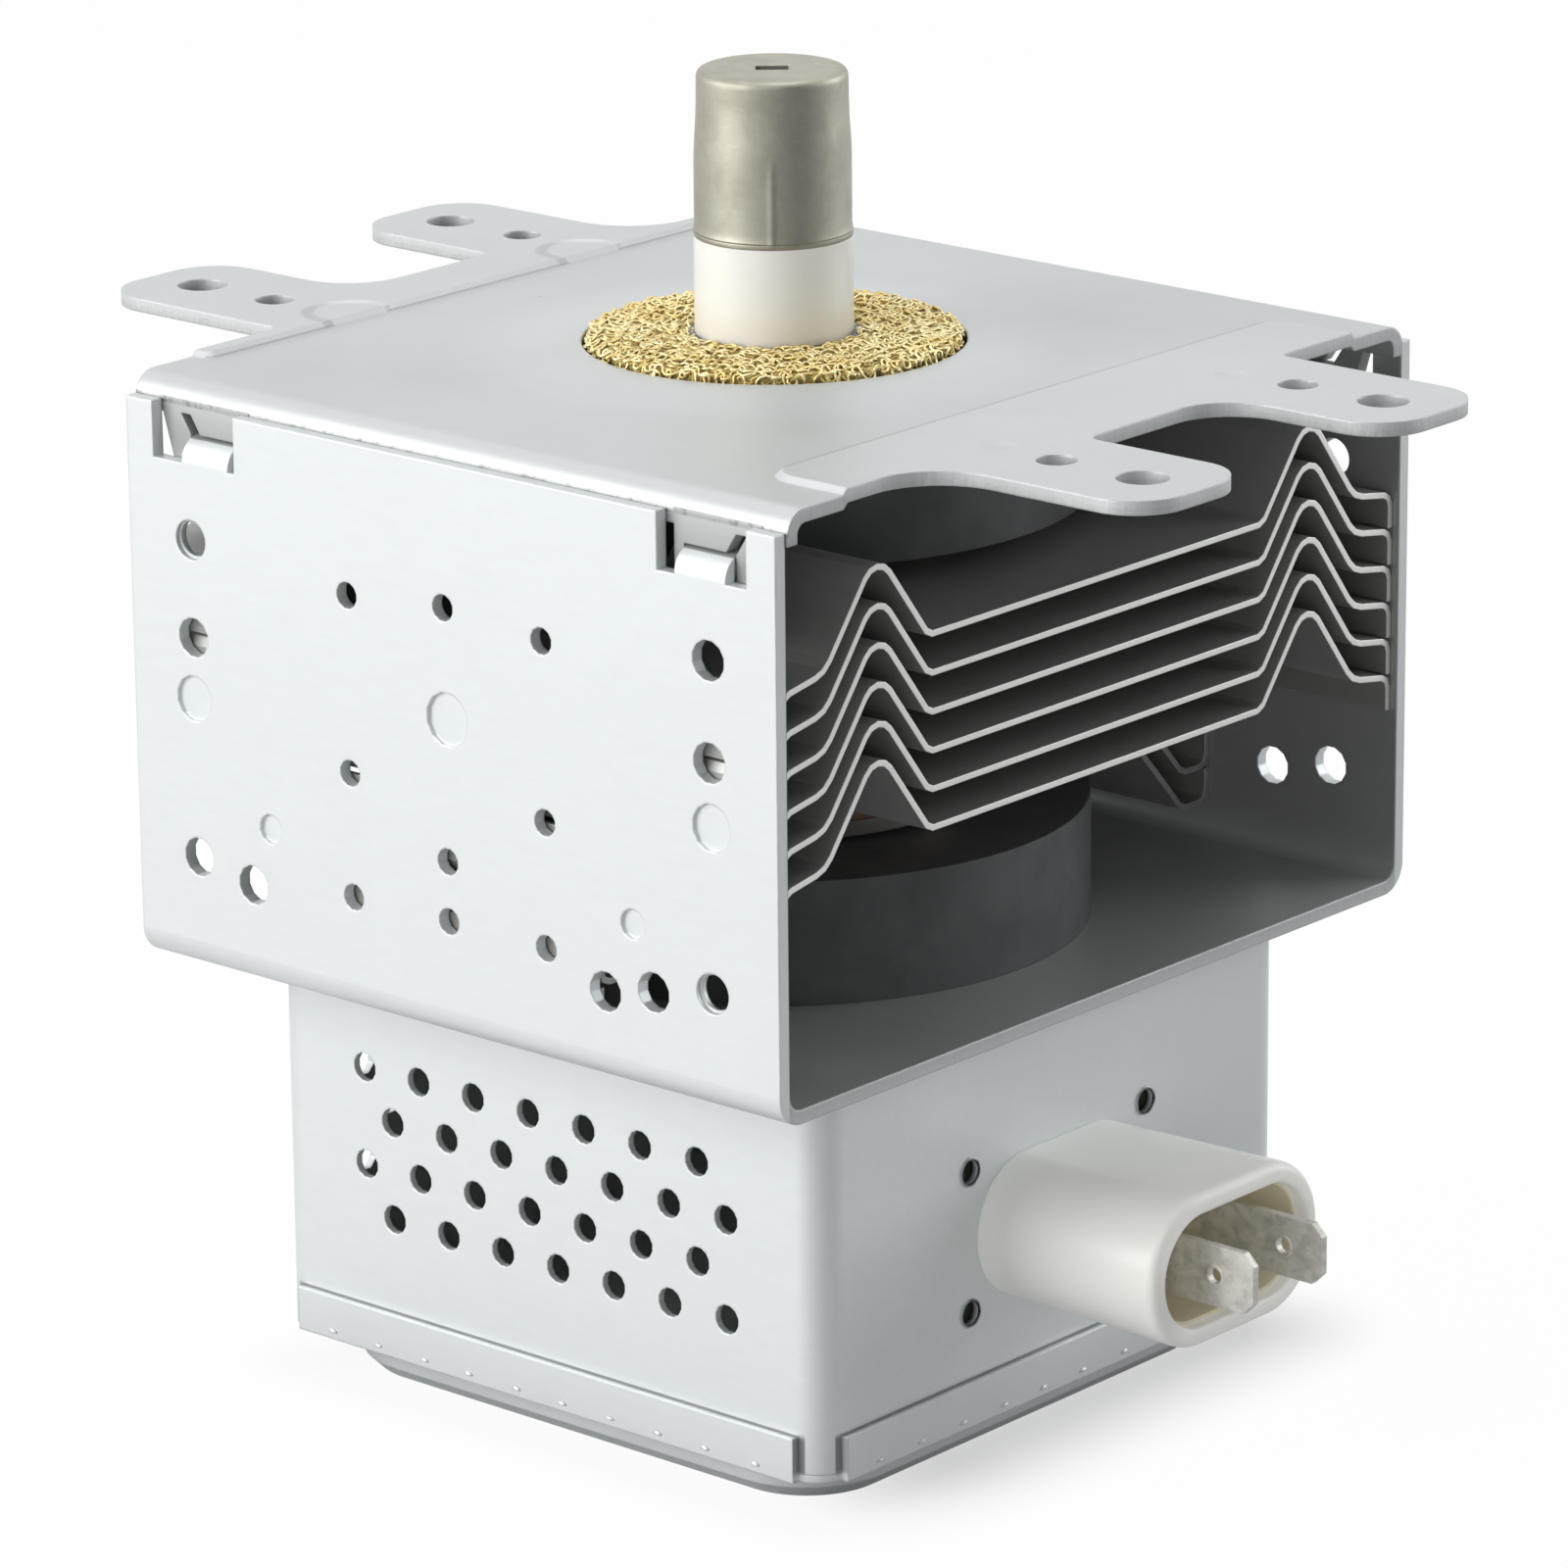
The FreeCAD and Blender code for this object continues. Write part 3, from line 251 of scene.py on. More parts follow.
def add_piece(name, slot, points, *faces, material=None):
    """Smooth closed mesh whose faces point out, riding on the fixed body, with its place in its points."""
    mesh = bpy.data.meshes.new(name)
    mesh.from_pydata(points.tolist(), [], [face for kind in faces for face in kind.tolist()])
    mesh.validate()
    mesh.update()
    mesh.polygons.foreach_set("use_smooth", np.full(len(mesh.polygons), True))
    mesh.materials.append(material or finish_of(slot))
    piece = linked(name, mesh)
    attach(piece, "root")
    shell = bmesh.new()
    shell.from_mesh(mesh)
    bmesh.ops.remove_doubles(shell, verts=shell.verts, dist=1e-7)
    bmesh.ops.recalc_face_normals(shell, faces=shell.faces)
    shell.to_mesh(mesh)
    shell.free()
    return piece


def rounded_profile(corners, steps):
    """Half section (r, z) whose corners (r, z, radius) are rounded.

    Each corner becomes a quadratic curve from the point one radius before it to the point one radius after it,
    with the corner itself as its control point.
    """
    corners = np.asarray(corners, float)
    place, radius = corners[:, :2], corners[:, 2:]
    back = np.roll(place, 1, 0) - place
    ahead = np.roll(place, -1, 0) - place
    back[0], ahead[-1] = 0, 0
    start = place + radius * back / np.maximum(np.linalg.norm(back, axis=1, keepdims=True), 1e-12)
    end = place + radius * ahead / np.maximum(np.linalg.norm(ahead, axis=1, keepdims=True), 1e-12)
    t = np.linspace(0, 1, steps)[None, :, None]
    curve = (1 - t) ** 2 * start[:, None] + 2 * t * (1 - t) * place[:, None] + t ** 2 * end[:, None]
    curve = curve.reshape(-1, 2)
    step = np.linalg.norm(np.diff(curve, axis=0), axis=1)
    return curve[np.concatenate([[True], step > 1e-7])]


def subdivided(profile, least):
    """Starts of the equal parts that the profile's sides are cut into, none shorter than the given length."""
    fine = []
    for a, b in zip(profile[:-1], profile[1:]):
        steps = max(1, int(np.linalg.norm(b - a) / least))
        fine.append(a + (b - a) * np.linspace(0, 1, steps, endpoint=False)[:, None])
    return np.concatenate(fine)


def turned(section, segments, bend=None):
    """Closed surface of revolution: each point (r, z) of the section goes round the axis in equal steps of angle.

    `bend`, where given, takes the grids of radius, angle and height and returns the bent radius and height.
    """
    a = np.arange(segments) * 2 * np.pi / segments
    a, r, z = np.broadcast_arrays(a, section[:, :1], section[:, 1:])
    if bend is not None:
        r, z = bend(r, a, z)
    points = np.stack([r * np.cos(a), r * np.sin(a), z], -1).reshape(-1, 3)
    return points, grid_faces(len(section), segments, True, True)


def closed_tube(path, across, radius, sides):
    """Round tube along a closed path (point, xyz).

    Each path point gets a circle of the radius in the plane of two directions at right angles to the path: the
    part of `across` that is square to the path, and the cross product of the path's direction with that.
    """
    ahead = np.roll(path, -1, 0) - np.roll(path, 1, 0)
    ahead /= np.linalg.norm(ahead, axis=-1, keepdims=True)
    first = across - ahead * (across * ahead).sum(-1, keepdims=True)
    first /= np.linalg.norm(first, axis=-1, keepdims=True)
    second = np.cross(ahead, first)
    turn = np.arange(sides)[:, None] * 2 * np.pi / sides
    points = path[:, None] + radius * (first[:, None] * np.cos(turn) + second[:, None] * np.sin(turn))
    return points.reshape(-1, 3), grid_faces(len(path), sides, True, True)


def gasket_section(sizes):
    """Crowned section (r, z) of the gasket from its outer foot over the crown to the foot of its bore, and the way
    along it to each of its points."""
    outer = GASKET_HIGH.x - 1.1 * sizes.wire
    inner = GASKET_BORE + 1.1 * sizes.wire
    crown = GASKET_HIGH.z - 1.7 * sizes.wire
    section = rounded_profile([
        (outer, sizes.seat_rise - 0.9 * MM, 0),
        (outer, 0.72 * crown, 0.5 * MM),
        (outer - 2.0 * MM, crown, 1.0 * MM),
        (inner + 0.5 * MM, crown, 0.3 * MM),
        (inner, crown - 0.3 * MM, 0.15 * MM),
    ], 7)
    return section, np.concatenate([[0], np.cumsum(np.linalg.norm(np.diff(section, axis=0), axis=1))])


def knitted_layer(sizes, seed, lift_by):
    """One layer of knitting: rows of stitches laid side by side over the crowned section.

    A row runs round the ring at the angle a. Its wire follows the stitch curve: along the row
    a + 0.12 sin(2t) stitches, across the rows the row's reach times cos(t), and out of the surface cos(2t), with
    t growing by one turn for each stitch. Each row has its own reach and stitch width, it strays by a sum of five
    slow waves, and seeded noise shifts each stitch, as mesh lies that was folded and pressed. `lift_by` raises
    the whole layer.
    """
    section, step = gasket_section(sizes)

    def on_section(way):
        return np.stack([np.interp(way, step, section[:, 0]), np.interp(way, step, section[:, 1])], -1)

    random = np.random.default_rng(seed)
    spacing = step[-1] / sizes.rows
    stitch_points, blur, slope_reach = 11, 6, 0.2 * MM
    smooth = np.exp(-0.5 * (np.arange(-blur, blur + 1) / 2.4) ** 2)
    smooth /= smooth.sum()
    parts = []
    for row in range(sizes.rows):
        middle = (row + 0.5) * spacing
        girth = 2 * math.pi * on_section(middle)[0]
        stitches = int(round(girth / (sizes.stitch * random.uniform(0.85, 1.25))))
        reach = sizes.loop * random.uniform(0.55, 0.95)
        count = stitches * stitch_points
        turn = np.arange(count) * 2 * np.pi / count
        t = np.arange(count) * 2 * np.pi / stitch_points + row * np.pi
        jitter = np.repeat(random.normal(0, 1, (stitches, 3)), stitch_points, 0)
        ends = np.concatenate([jitter[-blur:], jitter, jitter[:blur]])
        jitter = np.stack([np.convolve(ends[:, i], smooth, "valid") for i in range(3)], -1)
        waves = random.integers(3, 23, 5)
        stray = np.cos(turn[:, None] * waves + random.uniform(0, 2 * np.pi, 5)).sum(1) / 2.2
        along = (np.arange(count) / stitch_points + 0.12 * np.sin(2 * t) + 0.30 * jitter[:, 0]) / stitches
        a = 2 * np.pi * along
        side = middle + spacing * (reach * np.cos(t) + 0.40 * jitter[:, 1] + sizes.wander * stray)
        side = np.clip(side, 0.0, step[-1])
        ahead = on_section(side + slope_reach) - on_section(side - slope_reach)
        ahead /= np.linalg.norm(ahead, axis=1, keepdims=True)
        out = np.stack([ahead[:, 1], -ahead[:, 0]], -1)
        lift = lift_by + sizes.wire * (1.1 * np.cos(2 * t) + 0.7 * np.clip(jitter[:, 2], -1, 1) - 0.6)
        path, up = (
            np.stack([r * np.cos(a), r * np.sin(a), z], -1)
            for r, z in ((on_section(side) + out * lift[:, None]).T, out.T))
        parts.append(closed_tube(path, up, sizes.wire, 5))
    return merged(parts)


def gasket_core(sizes):
    """Plain ring under the stitches: the gasket's section drawn in by three wire radii and turned about the axis."""
    section, _ = gasket_section(sizes)
    away = section - ((section[:, 0].max() + section[:, 0].min()) / 2, PLATE_FACE)
    away /= np.linalg.norm(away, axis=1, keepdims=True)
    section = section - away * 3.0 * sizes.wire
    low = GASKET_LOW.z + 0.05 * MM
    return turned(np.array([(section[0, 0], low), *section, (CORE_BORE, 0.9 * MM), (CORE_BORE, low)]), 96)


def gasket_seat(sizes):
    """Drawn rim of the plate round the gasket's hole.

    The section rises from the plate to the hole by the seat's rise, along a smooth step (three times the square
    less twice the cube of the way), rolls over a small rounding and goes back down inside the hole; it is turned
    about the axis.
    """
    way = np.linspace(0, 1, 22)[:, None]
    out = SEAT_HOLE + 0.25 * MM + sizes.seat_width * (1 - way)
    rise = PLATE_FACE - 0.008 * MM + sizes.seat_rise * way ** 2 * (3 - 2 * way)
    foot, top, back = PLATE_FACE - 0.9 * MM, rise[-1, 0], SEAT_HOLE + 0.3 * MM
    lip = rounded_profile([(out[-1, 0], top, 0), (SEAT_HOLE, top, 0.22 * MM), (SEAT_HOLE, foot, 0)], 6)
    under = [(back, foot), (back, PLATE_FACE - 0.3 * MM), (out[0, 0], PLATE_FACE - 0.3 * MM)]
    return turned(np.concatenate([np.concatenate([out, rise], 1), lip[1:], under]), 160)


def cap_surface(sizes):
    """Drawn cap: outer skin from the foot lip up to the top's middle, then the inner skin back down.

    The skin is turned about the axis and then bent: below the shoulder a narrow ridge of bell section stands
    out at the crease angle, the lower half is drawn in very slightly where the forming jaws closed, and the flat
    top is dished by a few hundredths.
    """
    foot, top = CAP_LOW.z, CAP_HIGH.z
    lower = CAP_HIGH.x - 0.15 * MM
    upper = lower - 0.3 * MM
    wall, middle = 0.5 * MM, 0.02 * MM
    shoulder = foot + 8.6 * MM
    outer = rounded_profile([
        (lower - 0.9 * MM, foot, 0),
        (lower + sizes.flare - 0.1 * MM, foot, 0.1 * MM),
        (lower + sizes.flare, foot + 0.35 * MM, 0.2 * MM),
        (lower, foot + 1.0 * MM, 0.5 * MM),
        (lower, shoulder, 1.6 * MM),
        (upper + 0.05 * MM, shoulder + 3.4 * MM, 1.6 * MM),
        (upper, top - sizes.rounding, 0.0),
        (upper, top, sizes.rounding),
        (upper - 2.2 * MM, top, 0.0),
        (middle, top, 0.0),
    ], 8)
    inner = rounded_profile([
        (middle, top - wall, 0),
        (upper - wall, top - wall, 1.0 * MM),
        (upper - wall, shoulder, 0.0),
        (lower - 0.9 * MM, foot + 0.3 * MM, 0.0),
    ], 5)

    def bell(r, a, turn, width):
        """Bell curve of the distance round the cap from the given turn."""
        off = (a - turn + np.pi) % (2 * np.pi) - np.pi
        return np.exp(-0.5 * (off * r / width) ** 2)

    def bend(r, a, z):
        rise = (z - foot) / MM
        fade = np.clip((9.2 - rise) / 2.5, 0, 1) * np.clip(rise / 0.8, 0, 1)
        ridge = sizes.crease * bell(r, a, sizes.crease_turn, 0.22 * MM)
        flat = 0.07 * MM * bell(r, a, sizes.crease_turn + 0.75, 1.5 * MM)
        wave = 0.025 * MM * np.cos(3 * a + 0.6)
        r = r + np.where(r > upper - 0.3 * MM, fade * (ridge - flat + wave), 0.0)
        dish = 0.05 * MM * np.clip(1 - (r / (5.0 * MM)) ** 2, 0, 1)
        return r, z - np.where(z > top - 0.2 * MM, dish, 0.0)

    return turned(np.concatenate([subdivided(outer, 0.7 * MM), outer[-1:], inner]), 256, bend)


def screw_threads(sizes):
    """Helical ridges inside the punched screw holes.

    A ridge is a triangle (depth inward, most of a pitch wide) carried along a helix whose radius is the bore's and
    whose rise is one pitch a turn, from the inner face of the wall to its outer face.
    """
    pitch = sizes.thread_pitch
    turns = WALL_THICKNESS / pitch - 0.75
    steps = int(40 * turns)
    t = np.linspace(0, 1, steps)[:, None]
    a = 2 * np.pi * turns * t
    section = np.array([[0.02 * MM, -0.42 * pitch], [-sizes.thread_depth, 0.0], [0.02 * MM, 0.42 * pitch]])
    taper = np.clip(np.minimum(t, 1 - t) * 8, 0.03, 1)
    r = SCREW_RADIUS + section[:, 0] * taper
    y = 0.26 * MM + t * turns * pitch + section[:, 1] * taper
    shape = np.stack([r * np.cos(a), y, r * np.sin(a)], -1).reshape(-1, 3)
    faces = grid_faces(steps, 3, False, True)
    caps = np.array([[2, 1, 0], [3 * steps - 3, 3 * steps - 2, 3 * steps - 1]])
    return merged([(shape * (side, side, 1) + (x, -side * WALL_Y, z), faces, caps) for x, z, side in SCREW_PLACES])


def on_box(shape, y, rise, out=0.0):
    """The shape turned so that its axis points out of the box, at a place beside the socket's middle."""
    return np.stack([BOX_HIGH.x + out + shape[:, 2], y + shape[:, 0], SOCKET_Z + rise + shape[:, 1]], -1)


def swaged_collars(sizes):
    """Collars of the capacitor plate, flared over the box round each of its four holes.

    Each collar is a closed section turned about its hole: a short neck that curls out into a lip. The lip is torn
    into petals: its reach and its height follow a rectified wave of the angle with a seeded phase.
    """
    neck, wall = 1.22 * MM, 0.20 * MM
    high, flare = sizes.collar_height, sizes.collar_flare
    section = rounded_profile([
        (neck, -0.7 * MM, 0),
        (neck, 0.55 * high, 0.25 * MM),
        (neck + 0.6 * flare, high, 0.15 * MM),
        (neck + flare + wall, 0.75 * high, 0.12 * MM),
        (neck + wall, 0.2 * high, 0.15 * MM),
        (neck + wall, -0.7 * MM, 0),
    ], 4)[::-1]
    random = np.random.default_rng(11)

    def collar(y, rise):
        phase = random.uniform(0, 2 * np.pi)
        lobes = random.integers(5, 8)

        def bend(r, a, z):
            petal = 0.72 + 0.28 * np.abs(np.cos(lobes * a / 2 + phase)) + 0.08 * np.cos(2 * a + phase)
            return neck + (r - neck) * np.where(z > 0, petal, 1.0), z * np.where(z > 0, 0.85 + 0.15 * petal, 1.0)

        shape, quads = turned(section, 48, bend)
        return on_box(shape, y, rise), quads

    return merged([collar(y, rise) for y, rise in RIVET_PLACES])


def rivet_ends():
    """Dark dished ends of the hollow rivets, deep inside the four collars: a disc that sags by a fifth of its
    radius in the middle."""
    radius = 1.3 * MM
    section = np.array([(1, -0.1 * MM / radius), (1, 0), (0.5, -0.14), (0.02, -0.2), (0.02, -0.5)]) * radius
    shape, quads = turned(section, 24)
    return merged([(on_box(shape, y, rise, -0.72 * MM), quads) for y, rise in RIVET_PLACES])


def blade_rings():
    """Pressed rings round the hole of each blade: a low torus-like lip turned about the hole on the outer face."""
    section = rounded_profile([
        (0.78 * MM, -0.10 * MM, 0),
        (0.80 * MM, 0.07 * MM, 0.06 * MM),
        (1.05 * MM, 0.06 * MM, 0.1 * MM),
        (1.25 * MM, -0.05 * MM, 0),
    ], 4)[::-1]
    shape, quads = turned(section, 32)
    parts = []
    for low, high in (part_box("terminal_blade_1"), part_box("terminal_blade_2")):
        middle = (low.z + high.z) / 2
        parts.append((np.stack([BLADE_HOLE_X + shape[:, 0], low.y - shape[:, 2], middle + shape[:, 1]], -1), quads))
    return merged(parts)


def crimp_ticks(sizes):
    """Small half-moon crimps along the lower edge of the lid's rim, ten to a side.

    A crimp is a half dish: over the half disc of s (0 to 1) and t (0 to half a turn) the outline is half the
    width times s cos t sideways and the height times s sin t upward, and it stands out of the rim by the depth
    times one minus s squared. Its flat underside and its back close it.
    """
    low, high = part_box("filter_box_lid")
    count, rings, steps = 10, 4, 9
    s = np.linspace(1, 0.02, rings)[:, None]
    t = np.linspace(0, np.pi, steps)[None]
    front = np.stack([
        sizes.tick_width / 2 * s * np.cos(t),
        np.broadcast_to(sizes.tick_depth * (1 - s ** 2), (rings, steps)),
        sizes.tick_height * s * np.sin(t),
    ], -1).reshape(-1, 3)
    shape = np.concatenate([front, front * (1, 0, 1) - (0, 0.05 * MM, 0)])
    size = rings * steps
    grid, skin = np.arange(size).reshape(rings, steps), grid_faces(rings, steps)
    borders = [
        np.stack([edge[:-1], edge[1:], edge[1:] + size, edge[:-1] + size], -1)
        for edge in (grid[:, 0], grid[:, -1], grid[0], grid[-1])]
    quads = np.concatenate([skin, skin + size, *borders])
    random = np.random.default_rng(5)
    parts = []
    for c, n in ((0, -1), (1, 0), (0, 1), (-1, 0)):
        for place in (np.arange(count) - (count - 1) / 2) * sizes.tick_pitch:
            here = shape * (1, random.uniform(0.8, 1.1), random.uniform(0.85, 1.1))
            x, y, z = (here + (place + random.normal(0, 0.12) * MM, high.x, low.z + 5.25 * MM)).T
            parts.append((np.stack([y * c - x * n, y * n + x * c, z], -1), quads))
    return merged(parts)


def stretched_sleeve(profile, straight, steps):
    """Closed skin of a sleeve along X with a stretched round section.

    Each (radius, x) of the profile, whose sides are cut into parts of 1 mm or a little more, goes round: at the angle
    a the point lies at the radius times cos a and sin a, moved sideways by half the straight length toward its own
    side.
    """
    fine = subdivided(np.concatenate([profile, profile[:1]]), MM)
    a = np.arange(steps) * 2 * np.pi / steps
    radius, x = fine[:, :1], fine[:, 1:]
    y = radius * np.cos(a) + np.clip(np.cos(a) * 40, -1, 1) * straight
    z = radius * np.sin(a) + SOCKET_Z
    return np.stack([np.broadcast_to(x, y.shape), y, z], -1).reshape(-1, 3), grid_faces(len(fine), steps, True, True)


def socket_skins(sizes):
    """The socket's moulding with its softly rounded mouth, and the thin beige lining inside it that ends short of
    the mouth."""
    base, mouth = BOX_HIGH.x, SOCKET_HIGH.x
    outer = SOCKET_HIGH.z - SOCKET_Z
    straight = SOCKET_HIGH.y - outer
    inner = outer - 2.1 * MM
    moulding = rounded_profile([
        (inner, base, 0.0),
        (outer - 0.6 * MM, base, 0.15 * MM),
        (outer - 0.04 * MM, mouth, sizes.mouth_rounding),
        (inner, mouth, 0.35 * MM),
        (inner, base + 1.0 * MM, 0.0),
    ], 9)
    low, high = base + 8.0 * MM, mouth - 1.5 * MM
    against = inner - 0.03 * MM
    within = against - sizes.lining_wall
    lip = 0.1 * MM
    lining = rounded_profile([(against, low, 0), (against, high, lip), (within, high, lip), (within, low, 0)], 4)
    return stretched_sleeve(moulding, straight, 96), stretched_sleeve(lining, straight, 72)


# Finishes


class Value:
    """A result in a node tree. Arithmetic on it adds math nodes."""

    def __init__(self, nodes, socket):
        self.nodes, self.socket = nodes, socket

    def __mul__(self, other):
        return self.nodes.math("MULTIPLY", self, other)

    def __add__(self, other):
        return self.nodes.math("ADD", self, other)

    def __sub__(self, other):
        return self.nodes.math("SUBTRACT", self, other)

    def __rsub__(self, other):
        return self.nodes.math("SUBTRACT", other, self)

    def __gt__(self, other):
        return self.nodes.math("GREATER_THAN", self, other)

    def __lt__(self, other):
        return self.nodes.math("LESS_THAN", self, other)

    def __abs__(self):
        return self.nodes.math("ABSOLUTE", self)

    def largest(self, other):
        return self.nodes.math("MAXIMUM", self, other)

    def held(self):
        """The value, held between zero and one."""
        return self.nodes.math("ADD", self, 0.0, True)

    def ramp(self, low, high):
        """Smooth step from zero at low to one at high."""
        inputs = {"Value": self, "From Min": low, "From Max": high}
        return self.nodes.add("ShaderNodeMapRange", {"interpolation_type": "SMOOTHSTEP"}, inputs)[0]

    def band(self, low, high):
        """One between low and high and zero outside, with soft borders a fifth of the width wide."""
        soft = (high - low) / 10
        return self.ramp(low - soft, low + soft) * self.ramp(high + soft, high - soft)


class Nodes:
    """Builds one node tree."""

    def __init__(self, tree):
        tree.nodes.clear()
        self.tree = tree

    def add(self, kind, settings=None, inputs=None):
        """Results of a new node, by name and by place. An input given as a result is linked, and any other is set."""
        node = self.tree.nodes.new(kind)
        for key, value in (settings or {}).items():
            setattr(node, key, value)
        for key, value in (inputs or {}).items():
            if isinstance(value, Value):
                self.tree.links.new(value.socket, node.inputs[key])
            else:
                node.inputs[key].default_value = value
        results = [Value(self, socket) for socket in node.outputs]
        return {value.socket.name: value for value in results} | dict(enumerate(results))

    def math(self, operation, a, b=0.0, clamp=False):
        return self.add("ShaderNodeMath", {"operation": operation, "use_clamp": clamp}, {0: a, 1: b})[0]

    def distance(self, a, b):
        """Length of the vector with the two given sides."""
        return self.math("SQRT", a * a + b * b)

    def mix(self, factor, a, b, blend="MIX"):
        """Colour a with b mixed or blended in by the factor."""
        settings = {"data_type": "RGBA", "blend_type": blend, "clamp_factor": True}
        return self.add("ShaderNodeMix", settings, {0: factor, 6: a, 7: b})[2]

    def noise(self, place, scale, detail, roughness, distortion=0.0):
        inputs = {"Vector": place, "Scale": scale, "Detail": detail, "Roughness": roughness, "Distortion": distortion}
        return self.add("ShaderNodeTexNoise", None, inputs)["Fac"]

    def bump(self, distance, height, normal=None):
        inputs = {"Strength": 1.0, "Distance": distance, "Height": height}
        return self.add("ShaderNodeBump", None, inputs | ({"Normal": normal} if normal else {}))[0]

    def dot(self, a, b):
        return self.add("ShaderNodeVectorMath", {"operation": "DOT_PRODUCT"}, {0: a, 1: b})["Value"]

    def stretched(self, place, scale):
        return self.add("ShaderNodeMapping", None, {"Vector": place, "Scale": scale})[0]

    def place(self):
        return self.add("ShaderNodeTexCoord")["Object"]

    def axes(self, vector):
        axes = self.add("ShaderNodeSeparateXYZ", None, {0: vector})
        return axes["X"], axes["Y"], axes["Z"]

    def shared(self, name, inputs):
        """Results of one of the shared effect groups, made on first use."""
        if name not in GROUPS:
            GROUPS[name] = GROUP_MAKERS[name](name)
        return self.add("ShaderNodeGroup", {"node_tree": GROUPS[name]}, inputs)

    def surface(self, shader, end="ShaderNodeOutputMaterial"):
        """Links the shader to a new output node."""
        self.add(end, None, {"Surface": shader})


def new_group(name, inputs, outputs):
    """Empty shared group. Its inputs give their default, from which their kind follows, and its outputs their kind.
    Gives the builder of its tree and its inputs."""
    tree = bpy.data.node_groups.new(name, "ShaderNodeTree")
    kinds = {1: "Float", 3: "Vector", 4: "Color"}
    for label, default in inputs.items():
        kind = "NodeSocket" + kinds[np.size(default)]
        tree.interface.new_socket(name=label, in_out="INPUT", socket_type=kind).default_value = default
    for label, kind in outputs.items():
        tree.interface.new_socket(name=label, in_out="OUTPUT", socket_type="NodeSocket" + kind)
    nodes = Nodes(tree)
    return nodes, nodes.add("NodeGroupInput")


def grain_group(name):
    """Rolling grain: fine noise stretched along one axis, as a mask and a height."""
    inputs = {"Vector": (0.0, 0.0, 0.0), "Stretch": (1.0, 1.0, 1.0), "Fineness": 900.0, "Strength": 1.0}
    nodes, given = new_group(name, inputs, {"Mask": "Float", "Height": "Float"})
    fine = nodes.noise(nodes.stretched(given["Vector"], given["Stretch"]), given["Fineness"], 3.0, 0.6)
    height = (fine - 0.5) * given["Strength"]
    nodes.add("NodeGroupOutput", None, {"Mask": (height + 0.5).held(), "Height": height})
    return nodes.tree


def mottle_group(name):
    """Cloudy colour variation: a colour goes toward a second one where slow noise is high."""
    inputs = {"Vector": (0.0, 0.0, 0.0), "Colour": (0.8, 0.8, 0.8, 1), "Second": (0.6, 0.6, 0.6, 1), "Scale": 60.0,
              "Amount": 0.3}
    nodes, given = new_group(name, inputs, {"Colour": "Color", "Mask": "Float"})
    clouds = nodes.noise(given["Vector"], given["Scale"], 4.0, 0.55, 0.3).ramp(0.35, 0.7)
    colour = nodes.mix((clouds * given["Amount"]).held(), given["Colour"], given["Second"])
    nodes.add("NodeGroupOutput", None, {"Colour": colour, "Mask": clouds})
    return nodes.tree


def edge_group(name):
    """Worn edges: how far the rounded normal departs from the face's own, and that rounded normal."""
    nodes, given = new_group(name, {"Width": 0.0003, "Strength": 1.0}, {"Mask": "Float", "Normal": "Vector"})
    rounded = nodes.add("ShaderNodeBevel", {"samples": 4}, {"Radius": given["Width"]})[0]
    away = 1.0 - nodes.dot(rounded, nodes.add("ShaderNodeNewGeometry")["Normal"])
    nodes.add("NodeGroupOutput", None, {"Mask": (away * given["Strength"]).held(), "Normal": rounded})
    return nodes.tree


GROUPS = {}
GROUP_MAKERS = {"Rolling Grain": grain_group, "Mottle": mottle_group, "Worn Edges": edge_group}


def new_material(name):
    """Empty material and the builder of its tree."""
    material = bpy.data.materials.new(name)
    material.use_nodes = True
    return material, Nodes(material.node_tree)


def scaled(values, factor):
    """The values times one factor, or times one each, held at one."""
    return tuple(min(1.0, v) for v in (np.array(tuple(values)) * factor).tolist())


